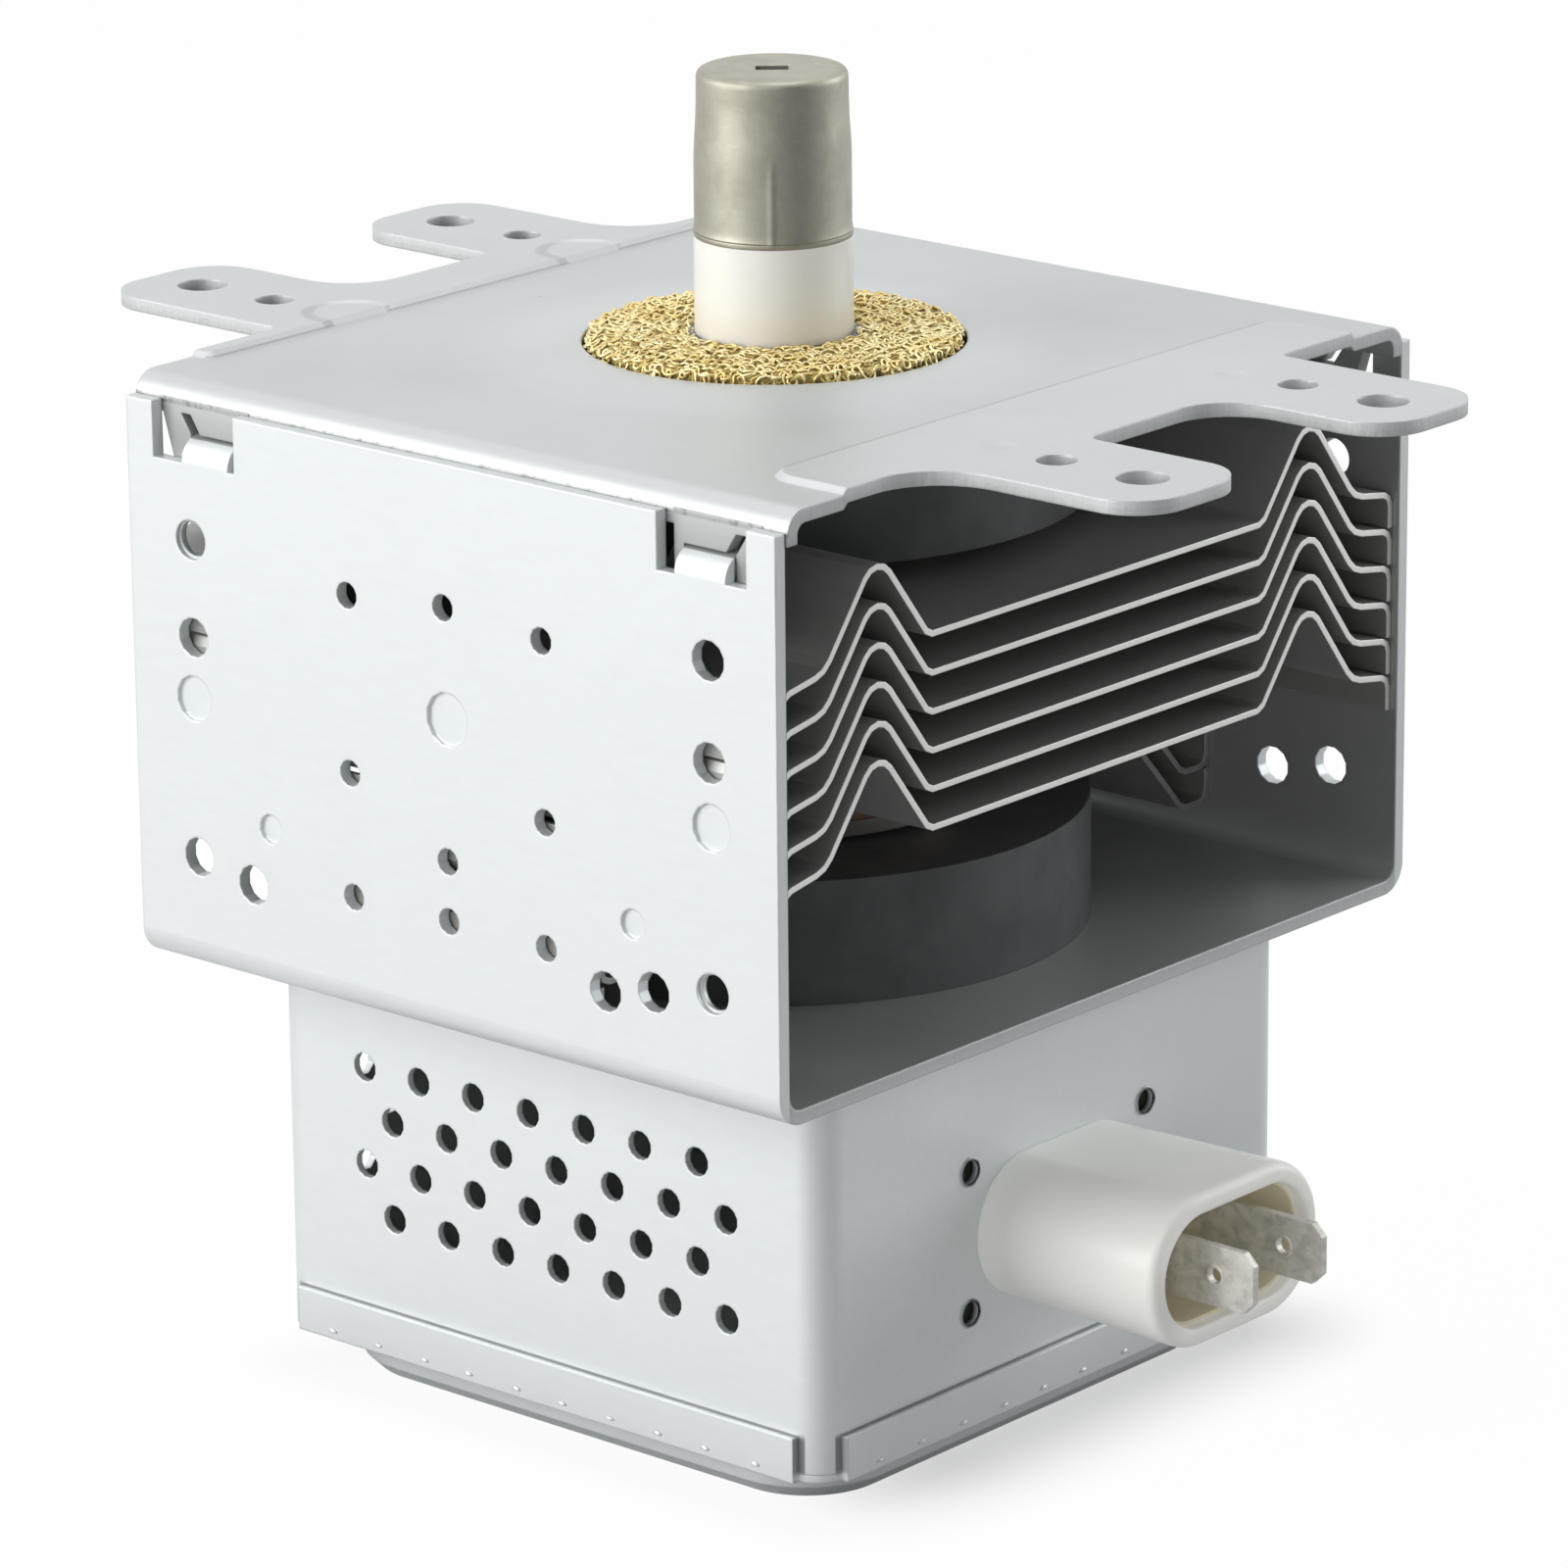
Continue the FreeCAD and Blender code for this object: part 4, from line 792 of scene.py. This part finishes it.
def sheet_marks(nodes, place, colour):
    """Marks of the presswork on the steel, and painted shade.

    Torn shear bands at the sheet's ends, dark specks, and a dish beside each ear's root. A dark line along the plate's
    seam is partly painted shade and partly dirt; painted shade lies over the lid's rim, painted shadow in its open
    corners, and painted shade inside the yoke and along the raised strips. Gives the changed colour, a height in
    metres, and the mask of the lower part of the plate, which has no relief.
    """
    x, y, z = nodes.axes(place)
    facing = nodes.axes(nodes.add("ShaderNodeNewGeometry")["True Normal"])[2]
    out_x, out_y = abs(x), abs(y)
    on_plate = z > PLATE_MARKS_LOW
    lumps = nodes.noise(place, 900.0, 4.0, 0.6)
    streaks = nodes.noise(nodes.stretched(place, (1.0, 1.0, 0.12)), 2600.0, 3.0, 0.6)

    at_end = (abs(facing) < 0.35) * (out_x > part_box("yoke_frame")[1].x - 0.1 * MM)
    torn = (z + (lumps - 0.5) * (1.2 * MM) < -0.75 * MM) * 0.65 + 0.35
    ragged = (streaks * 1.6 + -0.3).held()
    sheared = at_end * (on_plate * 0.55 + 0.25) * 0.5 * ragged * torn
    colour = nodes.mix(sheared, colour, MARKS["sheared"])

    # Dark line along the seam between the wall's top and the plate's bend: partly painted shade in the gap, partly
    # dirt whose strength varies with noise.
    seam = z.band(-2.95 * MM, -2.35 * MM) * out_y.band(WALL_Y - 1.62 * MM, WALL_Y - 1.28 * MM)
    colour = nodes.mix(seam * (lumps.ramp(0.52, 0.64) * 0.4 + 0.3), colour, MARKS["seam_shade_and_grime"])

    out_most, inner_most = out_x.largest(out_y), nodes.math("MINIMUM", out_x, out_y)
    # Painted shade along the top of the lid's rim, and painted shadow on the can in the open corners past the flap
    # ends.
    rim_top_shade = z.band(RIM_TOP - 0.05 * MM, RIM_TOP + 0.14 * MM) * out_most.band(35.7 * MM, 36.42 * MM)
    rim_top_shade = rim_top_shade * (inner_most < RIM_END + 0.2 * MM) * 0.6
    flap_end_shadow = inner_most.band(RIM_END - 0.02 * MM, RIM_END + 0.7 * MM)
    flap_end_shadow = flap_end_shadow * z.band(RIM_TOP - 3.8 * MM, RIM_TOP + 0.05 * MM) * 0.75
    colour = nodes.mix(rim_top_shade.largest(flap_end_shadow), colour, MARKS["rim_shadow"])

    # Painted shade: the yoke's inside, between its floor and the plate, is darkened toward a grey.
    within = z.band(YOKE_LOW + 0.7 * MM, -2.4 * MM) * (out_y < WALL_Y - 1.3 * MM) * 0.8
    colour = nodes.mix(within, colour, MARKS["within"])

    dots = nodes.add("ShaderNodeTexVoronoi", None, {"Vector": place, "Scale": 55.0})
    draw = nodes.add("ShaderNodeSeparateColor", None, {0: dots["Color"]})[0]
    colour = nodes.mix(dots["Distance"].ramp(0.020, 0.008) * (draw < 0.22) * 0.55, colour, MARKS["speck"])

    def dish(side, middle_x, middle_y, radius, depth):
        """Round dish on both halves of one end of the plate: full depth inside, up to level over its rim."""
        far = nodes.distance(x * side - middle_x, out_y - middle_y)
        return far.ramp(radius, radius - DISH_RIM) * -depth * on_plate

    rear = dish(-1.0, 41.0 * MM, 17.3 * MM, 5.2 * MM, REAR_DISH_DEPTH)
    front = dish(1.0, 43.2 * MM, 17.5 * MM, 1.9 * MM, FRONT_DENT_DEPTH)
    # Painted shade: thin dark lines along the top edge of the front raised strip and along the foot of the rear step.
    front_step_shade = x.band(32.25 * MM, 32.7 * MM) * (z > -0.06 * MM) * (out_y < 38.2 * MM) * 0.30
    beside_dish = 1.0 - rear * (-1.0 / REAR_DISH_DEPTH)
    rear_step_shade = z.band(-0.56 * MM, -0.40 * MM) * x.band(-40.5 * MM, -39.55 * MM) * beside_dish * 0.40
    colour = nodes.mix(front_step_shade.largest(rear_step_shade), colour, MARKS["step"])

    relief = rear + front + at_end * streaks * SCRATCH_DEPTH
    return colour, relief, z.band(-1.0 * MM, -0.56 * MM) * (facing > 0.9)


def finish(name, base, second, metallic, rough, spread, grain, mottle, bump, edge=None, coat=0.0, pressed=False,
           painted_glow=0.0, ends=None):
    """Material of one finish.

    base is its colour, and second the factor or the three factors of the colour that its clouds go toward. spread is
    how far the grain moves the roughness, grain the stretch, fineness and strength of its rolling or grinding lines,
    mottle the scale and amount of its clouds, bump the depth of the grain in metres, edge the width, the strength
    and the colour factor of its worn edges, painted_glow the strength of an emission in the finish's own colour,
    painted light that brightens a moulding though it is no lamp, and ends the colour factor of freshly sheared ends.
    """
    material, nodes = new_material(name)
    place = nodes.place()
    stretch, fineness, strength = grain
    lines = nodes.shared(
        "Rolling Grain", {"Vector": place, "Stretch": stretch, "Fineness": fineness, "Strength": strength})
    clouds = nodes.shared("Mottle", {
        "Vector": place, "Colour": (*base, 1), "Second": (*scaled(base, second), 1), "Scale": mottle[0],
        "Amount": mottle[1]})
    shade = lines["Mask"] * 0.16 + 0.92
    grey = nodes.add("ShaderNodeCombineColor", None, {0: shade, 1: shade, 2: shade})[0]
    tinted = nodes.mix(1.0, clouds["Colour"], grey, "MULTIPLY")
    rougher = (lines["Mask"] * spread + (rough - spread / 2) + clouds["Mask"] * (spread * 0.6)).held()
    normal = None
    if ends is not None:
        fresh = scaled(base, ends)
        sheared = abs(nodes.axes(place)[0]) > FIN_END - 0.05 * MM
        tinted = nodes.mix(sheared, tinted, nodes.mix(lines["Mask"], (*scaled(fresh, 0.8), 1), (*fresh, 1)))
    if edge is not None:
        width, wear, lighter = edge
        worn = nodes.shared("Worn Edges", {"Width": width, "Strength": wear})
        normal = worn["Normal"]
        tinted = nodes.mix(worn["Mask"], tinted, (*scaled(base, lighter), 1))
    if pressed:
        tinted, relief, lower = sheet_marks(nodes, place, tinted)
        inputs = {0: lower, 4: nodes.bump(1.0, relief, normal), 5: normal}
        normal = nodes.add("ShaderNodeMix", {"data_type": "VECTOR"}, inputs)[1]
    inputs = {
        "Base Color": tinted, "Metallic": metallic, "Roughness": rougher, "Coat Weight": coat,
        "Emission Strength": painted_glow, "Normal": nodes.bump(bump, lines["Height"], normal)}
    # Painted light: the finish's own colour glows as an emission though it is no lamp.
    if painted_glow:
        inputs["Emission Color"] = tinted
    nodes.surface(nodes.add("ShaderNodeBsdfPrincipled", None, inputs)[0])
    return material


def finish_table(colours):
    """Every finish of the object by its slot in the record."""
    level, turned_grain, wire_grain = (1.0, 1.0, 1.0), (1.0, 1.0, 3.0), (1.0, 1.0, 4.0)
    return {
        "zinc_steel": finish(
            "zinc plated steel", colours.zinc, 0.9, 0.40, 0.42, 0.12, ((0.25, 1.0, 1.0), 1400.0, 0.35), (45.0, 0.35),
            0.004 * MM, (0.30 * MM, 2.5, 1.12), pressed=True),
        "aluminium": finish(
            "rolled aluminium", colours.aluminium, 0.75, 0.6, 0.45, 0.15, ((0.2, 1.0, 1.0), 1800.0, 0.5),
            (70.0, 0.5), 0.005 * MM, (0.16 * MM, 3.0, 2.1), ends=2.4),
        "ferrite": finish(
            "ground ferrite", colours.ferrite, 0.55, 0.0, 0.55, 0.2, (level, 2400.0, 0.8), (90.0, 0.6),
            0.010 * MM, (0.4 * MM, 2.0, 2.2)),
        "white_ceramic": finish(
            "white ceramic", colours.ceramic, 0.97, 0.0, 0.28, 0.10, (level, 1200.0, 0.15), (120.0, 0.5),
            0.002 * MM, coat=0.15),
        "nickel": finish(
            "satin nickel", colours.nickel, 0.78, 1.0, 0.48, 0.16, ((1.0, 1.0, 2.2), 1500.0, 1.2), (260.0, 0.6),
            0.010 * MM),
        "seal_alloy": finish(
            "drawn seal alloy", scaled(colours.iron, 0.4), 0.625, 0.9, 0.35, 0.15, (turned_grain, 1500.0, 0.5),
            (150.0, 0.5), 0.004 * MM, (0.2 * MM, 2.0, 4.0)),
        "soft_iron": finish(
            "pressed iron", colours.iron, 0.75, 0.9, 0.4, 0.15, (level, 1300.0, 0.5), (130.0, 0.5), 0.005 * MM,
            (0.2 * MM, 2.0, 1.5)),
        "copper": finish(
            "bright copper", colours.copper, 0.7, 1.0, 0.3, 0.15, (turned_grain, 1200.0, 0.5), (110.0, 0.6),
            0.004 * MM, (0.2 * MM, 2.0, 1.3)),
        "brass_mesh": finish(
            "brass wire", colours.brass, (0.82, 0.72, 0.48), 0.7, 0.32, 0.12, (level, 2600.0, 0.6), (380.0, 0.9),
            0.002 * MM),
        "tungsten": finish(
            "drawn tungsten", colours.wire_grey, 0.7, 1.0, 0.35, 0.1, (wire_grain, 2000.0, 0.5), (200.0, 0.4),
            0.002 * MM),
        "molybdenum": finish(
            "drawn molybdenum", scaled(colours.wire_grey, 1.5), 1 / 1.5, 1.0, 0.35, 0.1, (wire_grain, 2000.0, 0.5),
            (200.0, 0.4), 0.002 * MM),
        # The moulding and the beige resin emit a little light: painted light.
        "housing_plastic": finish(
            "off-white moulding", colours.housing, 0.93, 0.0, 0.36, 0.12, (level, 900.0, 0.25), (80.0, 0.4),
            0.006 * MM, (0.5 * MM, 1.2, 1.12), coat=0.1, painted_glow=0.12),
        "capacitor_resin": finish(
            "beige resin", colours.resin, 0.85, 0.0, 0.5, 0.15, (level, 700.0, 0.5), (150.0, 0.5), 0.010 * MM,
            painted_glow=0.04),
        "tinned_brass": finish(
            "tin plate", colours.tin, 0.45, 0.35, 0.42, 0.2, ((0.3, 1.0, 1.0), 1100.0, 1.6), (650.0, 0.55),
            0.012 * MM, (0.2 * MM, 2.0, 1.5)),
        "enamelled_copper": finish(
            "lacquered wire", colours.enamel, 0.6, 0.4, 0.25, 0.1, ((8.0, 1.0, 1.0), 260.0, 1.0), (120.0, 0.5),
            0.15 * MM, coat=0.4),
    }


FINISHES = {}


def finish_of(slot):
    if not FINISHES:
        FINISHES.update(finish_table(bpy.context.scene.magnetron_finishes))
    return FINISHES[slot]


def shade_darkened_brass(colours, shade):
    """Brass of the folded layers under the top one, tinted and darkened by the shade factor: the darkening is painted
    shade between the wires.
    """
    brass = scaled(scaled(colours.brass, (0.95, 0.86, 0.55)), shade)
    grain = ((1.0, 1.0, 1.0), 2200.0, 1.0)
    return finish("folded brass wire", brass, 0.55, 0.5, 0.45, 0.2, grain, (900.0, 0.9), 0.15 * MM)


def bore_shade_finish(colours):
    """Near-black iron of the rivet ends: painted shade deep in the bores."""
    grain = ((1.0, 1.0, 1.0), 1800.0, 1.0)
    return finish(
        "bore shade iron", scaled(colours.iron, 0.12), 0.05 / 0.12, 0.4, 0.7, 0.1, grain, (600.0, 0.8), 0.02 * MM)


# Stage


def lamp(name, place, target, size, power, tint):
    light = bpy.data.lights.new(name, "AREA")
    light.shape = "RECTANGLE"
    light.size, light.size_y = size
    light.energy = power
    light.color = tint
    made = linked(name, light)
    made.location = place
    made.rotation_mode = "QUATERNION"
    made.rotation_quaternion = (Vector(target) - Vector(place)).to_track_quat("-Z", "Y")
    return made


def seen_directly(nodes):
    """One for camera and transmission rays and zero for the others, and the same for glossy rays."""
    path = nodes.add("ShaderNodeLightPath")
    return path["Is Camera Ray"].largest(path["Is Transmission Ray"]), path["Is Glossy Ray"]


def white_shares(nodes, stage, seen, glossy):
    """Share of plain white in the floor.

    It is full far away and less beside the plateau that the object stands on, most of all under its right side:
    painted shadow on the floor, over which the rendered shadow also shows. In reflections it is less still beside the
    plateau, and
    it falls off to the right: painted shade in the floor's reflection.
    """
    x, y, _ = nodes.axes(nodes.place())
    far = nodes.distance(*((abs(axis) - PLATEAU_HALF).largest(0.0) for axis in (x, y)))
    # Painted shadow: the floor's white share drops beside the plateau, most of all on its right.
    painted_shadow = far.ramp(17.0 * MM, 0.0) * x.ramp(20.0 * MM, 34.0 * MM) * y.ramp(-40.0 * MM, -12.0 * MM)
    painted_shadow = painted_shadow.largest(far.ramp(12.0 * MM, 0.0) * 0.15)
    direct = stage.white - painted_shadow * (stage.white - stage.near)
    # Painted shade in reflections: the floor seen by glossy rays darkens near the plateau and to the right.
    mirrored = far.ramp(2.0 * MM, 30.0 * MM) * 0.88 + 0.05
    reflection_dimming_right = 1.0 - x.ramp(30.0 * MM, 75.0 * MM) * 0.55
    return seen * direct + glossy * mirrored * reflection_dimming_right


def floor_material(stage):
    """Pale floor: plain white where it is only looked at, and the stage's own colour where it lights the object."""
    material, nodes = new_material("pale floor")
    seen, glossy = seen_directly(nodes)
    plain = nodes.add("ShaderNodeEmission", None, {"Color": (1, 1, 1, 1), "Strength": 1.0})[0]
    paint = nodes.mix(seen, (*stage.floor, 1), (0.98, 0.98, 0.98, 1))
    lit = nodes.add("ShaderNodeBsdfDiffuse", None, {"Color": paint})[0]
    share = white_shares(nodes, stage, seen, glossy)
    nodes.surface(nodes.add("ShaderNodeMixShader", None, {0: share, 1: lit, 2: plain})[0])
    return material


def card_material(across):
    """Dark card whose sides fade to clear along the direction across it."""
    material, nodes = new_material("dark card")
    dark = nodes.add("ShaderNodeEmission", None, {"Color": (1, 1, 1, 1), "Strength": 0.12})[0]
    clear = nodes.add("ShaderNodeBsdfTransparent")[0]
    fade = abs(nodes.dot(nodes.place(), tuple(across))).ramp(0.15, CARD_HALF_WIDTH)
    nodes.surface(nodes.add("ShaderNodeMixShader", None, {0: fade, 1: dark, 2: clear})[0])
    return material


def stage_card(name, corners, material):
    """One flat face with the material."""
    mesh = bpy.data.meshes.new(name)
    mesh.from_pydata([tuple(corner) for corner in corners], [], [(0, 1, 2, 3)])
    mesh.materials.append(material)
    return linked(name, mesh)


# Operators


class MAGNETRON_OT_dress_nodes(Operator):
    """Give every solid of the frame the finish that its slot names"""

    bl_idname = "magnetron.dress_nodes"
    bl_label = "Dress the solids"

    def execute(self, context):
        for part in frame["record"]["subparts"]:
            slots = frame["nodes"][part["node"]].material_slots
            if not slots:
                raise RuntimeError("the solid %s has no material slot" % part["node"])
            for place in slots:
                place.material = finish_of(part["material_slot"])
        return {"FINISHED"}


class MAGNETRON_OT_knit_gasket(Operator):
    """Knit the brass gasket in rows of stitches over its core, inside the plate's drawn rim"""

    bl_idname = "magnetron.knit_gasket"
    bl_label = "Knitted gasket"

    def execute(self, context):
        sizes, colours = context.scene.magnetron_gasket, context.scene.magnetron_finishes
        stitches = add_piece("gasket_stitches", "brass_mesh", *knitted_layer(sizes, 7, 0.0))
        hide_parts("rf_gasket")
        under = knitted_layer(sizes, 19, -1.9 * sizes.wire)
        # The layer under the stitches and the core get darker copies of the brass: painted shade between the wires.
        add_piece("gasket_under_layer", "brass_mesh", *under, material=shade_darkened_brass(colours, 0.78))
        add_piece("gasket_core", "brass_mesh", *gasket_core(sizes), material=shade_darkened_brass(colours, 0.5))
        add_piece("gasket_seat", "zinc_steel", *gasket_seat(sizes))
        return {"FINISHED"}


class MAGNETRON_OT_draw_cap(Operator):
    """Draw the antenna cap with its lip, shoulder, crease and slotted top"""

    bl_idname = "magnetron.draw_cap"
    bl_label = "Antenna cap"

    def execute(self, context):
        sizes = context.scene.magnetron_cap
        cap = add_piece("cap_drawn", "nickel", *cap_surface(sizes))
        half = (sizes.slot_length / 2, sizes.slot_width / 2, 1.2 * MM)
        corners = np.array([(x, y, z) for x in (-1, 1) for y in (-1, 1) for z in (-1, 1)]) * half
        turn = np.array(Matrix.Rotation(sizes.slot_turn, 3, "Z"))
        corners = corners @ turn.T + (0, 0, CAP_HIGH.z)
        sides = [(0, 1, 3, 2), (4, 6, 7, 5), (0, 4, 5, 1), (2, 3, 7, 6), (0, 2, 6, 4), (1, 5, 7, 3)]
        slot_mesh = bpy.data.meshes.new("slot_cutter")
        slot_mesh.from_pydata(corners.tolist(), [], sides)
        cutter = linked("slot_cutter", slot_mesh)
        cut = cap.modifiers.new("slot", "BOOLEAN")
        cut.operation = "DIFFERENCE"
        cut.solver = "EXACT"
        cut.object = cutter
        context.view_layer.update()
        made = bpy.data.meshes.new_from_object(cap.evaluated_get(context.evaluated_depsgraph_get()))
        cap.modifiers.clear()
        old = cap.data
        cap.data = made
        made.name = "cap_drawn"
        bpy.data.meshes.remove(old)
        bpy.data.objects.remove(cutter)
        bpy.data.meshes.remove(slot_mesh)
        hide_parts("antenna_cap")
        return {"FINISHED"}


class MAGNETRON_OT_form_metalwork(Operator):
    """Form the screw threads, the swaged rivets, the blade rings, the crimp ticks and the socket's skins"""

    bl_idname = "magnetron.form_metalwork"
    bl_label = "Threads, collars and dimples"

    def execute(self, context):
        sizes = context.scene.magnetron_metalwork
        add_piece("screw_threads", "zinc_steel", *screw_threads(sizes))
        add_piece("swaged_collars", "zinc_steel", *swaged_collars(sizes))
        add_piece("blade_rings", "tinned_brass", *blade_rings())
        add_piece("crimp_ticks", "zinc_steel", *crimp_ticks(sizes))
        moulding, lining = socket_skins(sizes)
        skin = add_piece("socket_moulding", "housing_plastic", *moulding)
        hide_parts("connector_housing")
        add_piece("socket_lining", "capacitor_resin", *lining)
        dark = bore_shade_finish(context.scene.magnetron_finishes)
        # The rivet ends are near-black discs: painted shade at the bottom of the collars' bores.
        add_piece("rivet_ends", "soft_iron", *rivet_ends(), material=dark)
        return {"FINISHED"}


class MAGNETRON_OT_set_stage(Operator):
    """Set the floor, the surroundings, the lamps and the camera"""

    bl_idname = "magnetron.set_stage"
    bl_label = "Floor, lamps and camera"

    def execute(self, context):
        scene = context.scene
        stage = scene.magnetron_stage
        scene.view_settings.view_transform = "Standard"

        corners = [(x * FLOOR_REACH, y * FLOOR_REACH, FLOOR_Z) for x, y in ((-1, -1), (1, -1), (1, 1), (-1, 1))]
        floor = stage_card("floor", corners, floor_material(stage))

        world = bpy.data.worlds.new("surroundings")
        scene.world = world
        world.use_nodes = True
        nodes = Nodes(world.node_tree)
        seen, glossy = seen_directly(nodes)
        strength = seen.largest(glossy) * (1.0 - stage.fill) + stage.fill
        light = nodes.add("ShaderNodeBackground", None, {"Color": (1, 1, 1, 1), "Strength": strength})[0]
        nodes.surface(light, "ShaderNodeOutputWorld")

        for name, place, target, size, power, tint, mirrored in LAMPS:
            made = lamp(name, place, target, size, power * stage.key, tint)
            made.visible_glossy = mirrored

        toward = Matrix.Rotation(CARD_TURN, 3, "Z") @ Vector((stage.eye[0], stage.eye[1], 0)).normalized()
        across = Vector((-toward.y, toward.x, 0))
        low, high, half = CARD_LOW, CARD_HIGH, CARD_HALF_WIDTH
        corners = [
            toward * CARD_DISTANCE + across * side + Vector((0, 0, rise))
            for side, rise in ((-half, low), (half, low), (half, high), (-half, high))]
        card = stage_card("dark_card", corners, card_material(across))
        card.visible_camera = False
        card.visible_diffuse = False
        card.visible_shadow = False

        view = bpy.data.cameras.new("camera")
        view.sensor_width = 36.0
        view.lens = stage.lens
        view.clip_start = 0.01
        view.clip_end = 50.0
        camera = linked("camera", view)
        eye, target = Vector(stage.eye), Vector(stage.target)
        turn = (target - eye).to_track_quat("-Z", "Y").to_matrix().to_4x4()
        camera.matrix_world = Matrix.Translation(eye) @ turn @ Matrix.Rotation(stage.roll, 4, "Z")
        scene.camera = camera
        return {"FINISHED"}


class MAGNETRON_PT_panel(Panel):
    """Lists the steps that dress the magnetron"""

    bl_label = "Magnetron"
    bl_idname = "MAGNETRON_PT_panel"
    bl_space_type = "VIEW_3D"
    bl_region_type = "UI"
    bl_category = "Magnetron"

    def draw(self, context):
        for step in STEPS:
            self.layout.operator(step.bl_idname, text=step.bl_label)
        for name in PROPERTIES:
            box = self.layout.box()
            settings = getattr(context.scene, name)
            for key in settings.__annotations__:
                box.prop(settings, key)


PROPERTIES = {
    "magnetron_gasket": GasketSizes,
    "magnetron_cap": CapSizes,
    "magnetron_metalwork": MetalworkSizes,
    "magnetron_finishes": Finishes,
    "magnetron_stage": StageSettings,
}
STEPS = (
    MAGNETRON_OT_dress_nodes,
    MAGNETRON_OT_knit_gasket,
    MAGNETRON_OT_draw_cap,
    MAGNETRON_OT_form_metalwork,
    MAGNETRON_OT_set_stage,
)
CLASSES = (*PROPERTIES.values(), *STEPS, MAGNETRON_PT_panel)


def register():
    for made in CLASSES:
        bpy.utils.register_class(made)
    for name, kind in PROPERTIES.items():
        setattr(bpy.types.Scene, name, PointerProperty(type=kind))


def unregister():
    for name in PROPERTIES:
        delattr(bpy.types.Scene, name)
    for made in reversed(CLASSES):
        bpy.utils.unregister_class(made)


def main():
    register()
    bpy.ops.magnetron.dress_nodes()
    bpy.ops.magnetron.knit_gasket()
    bpy.ops.magnetron.draw_cap()
    bpy.ops.magnetron.form_metalwork()
    bpy.ops.magnetron.set_stage()


if __name__ == "__main__":
    main()
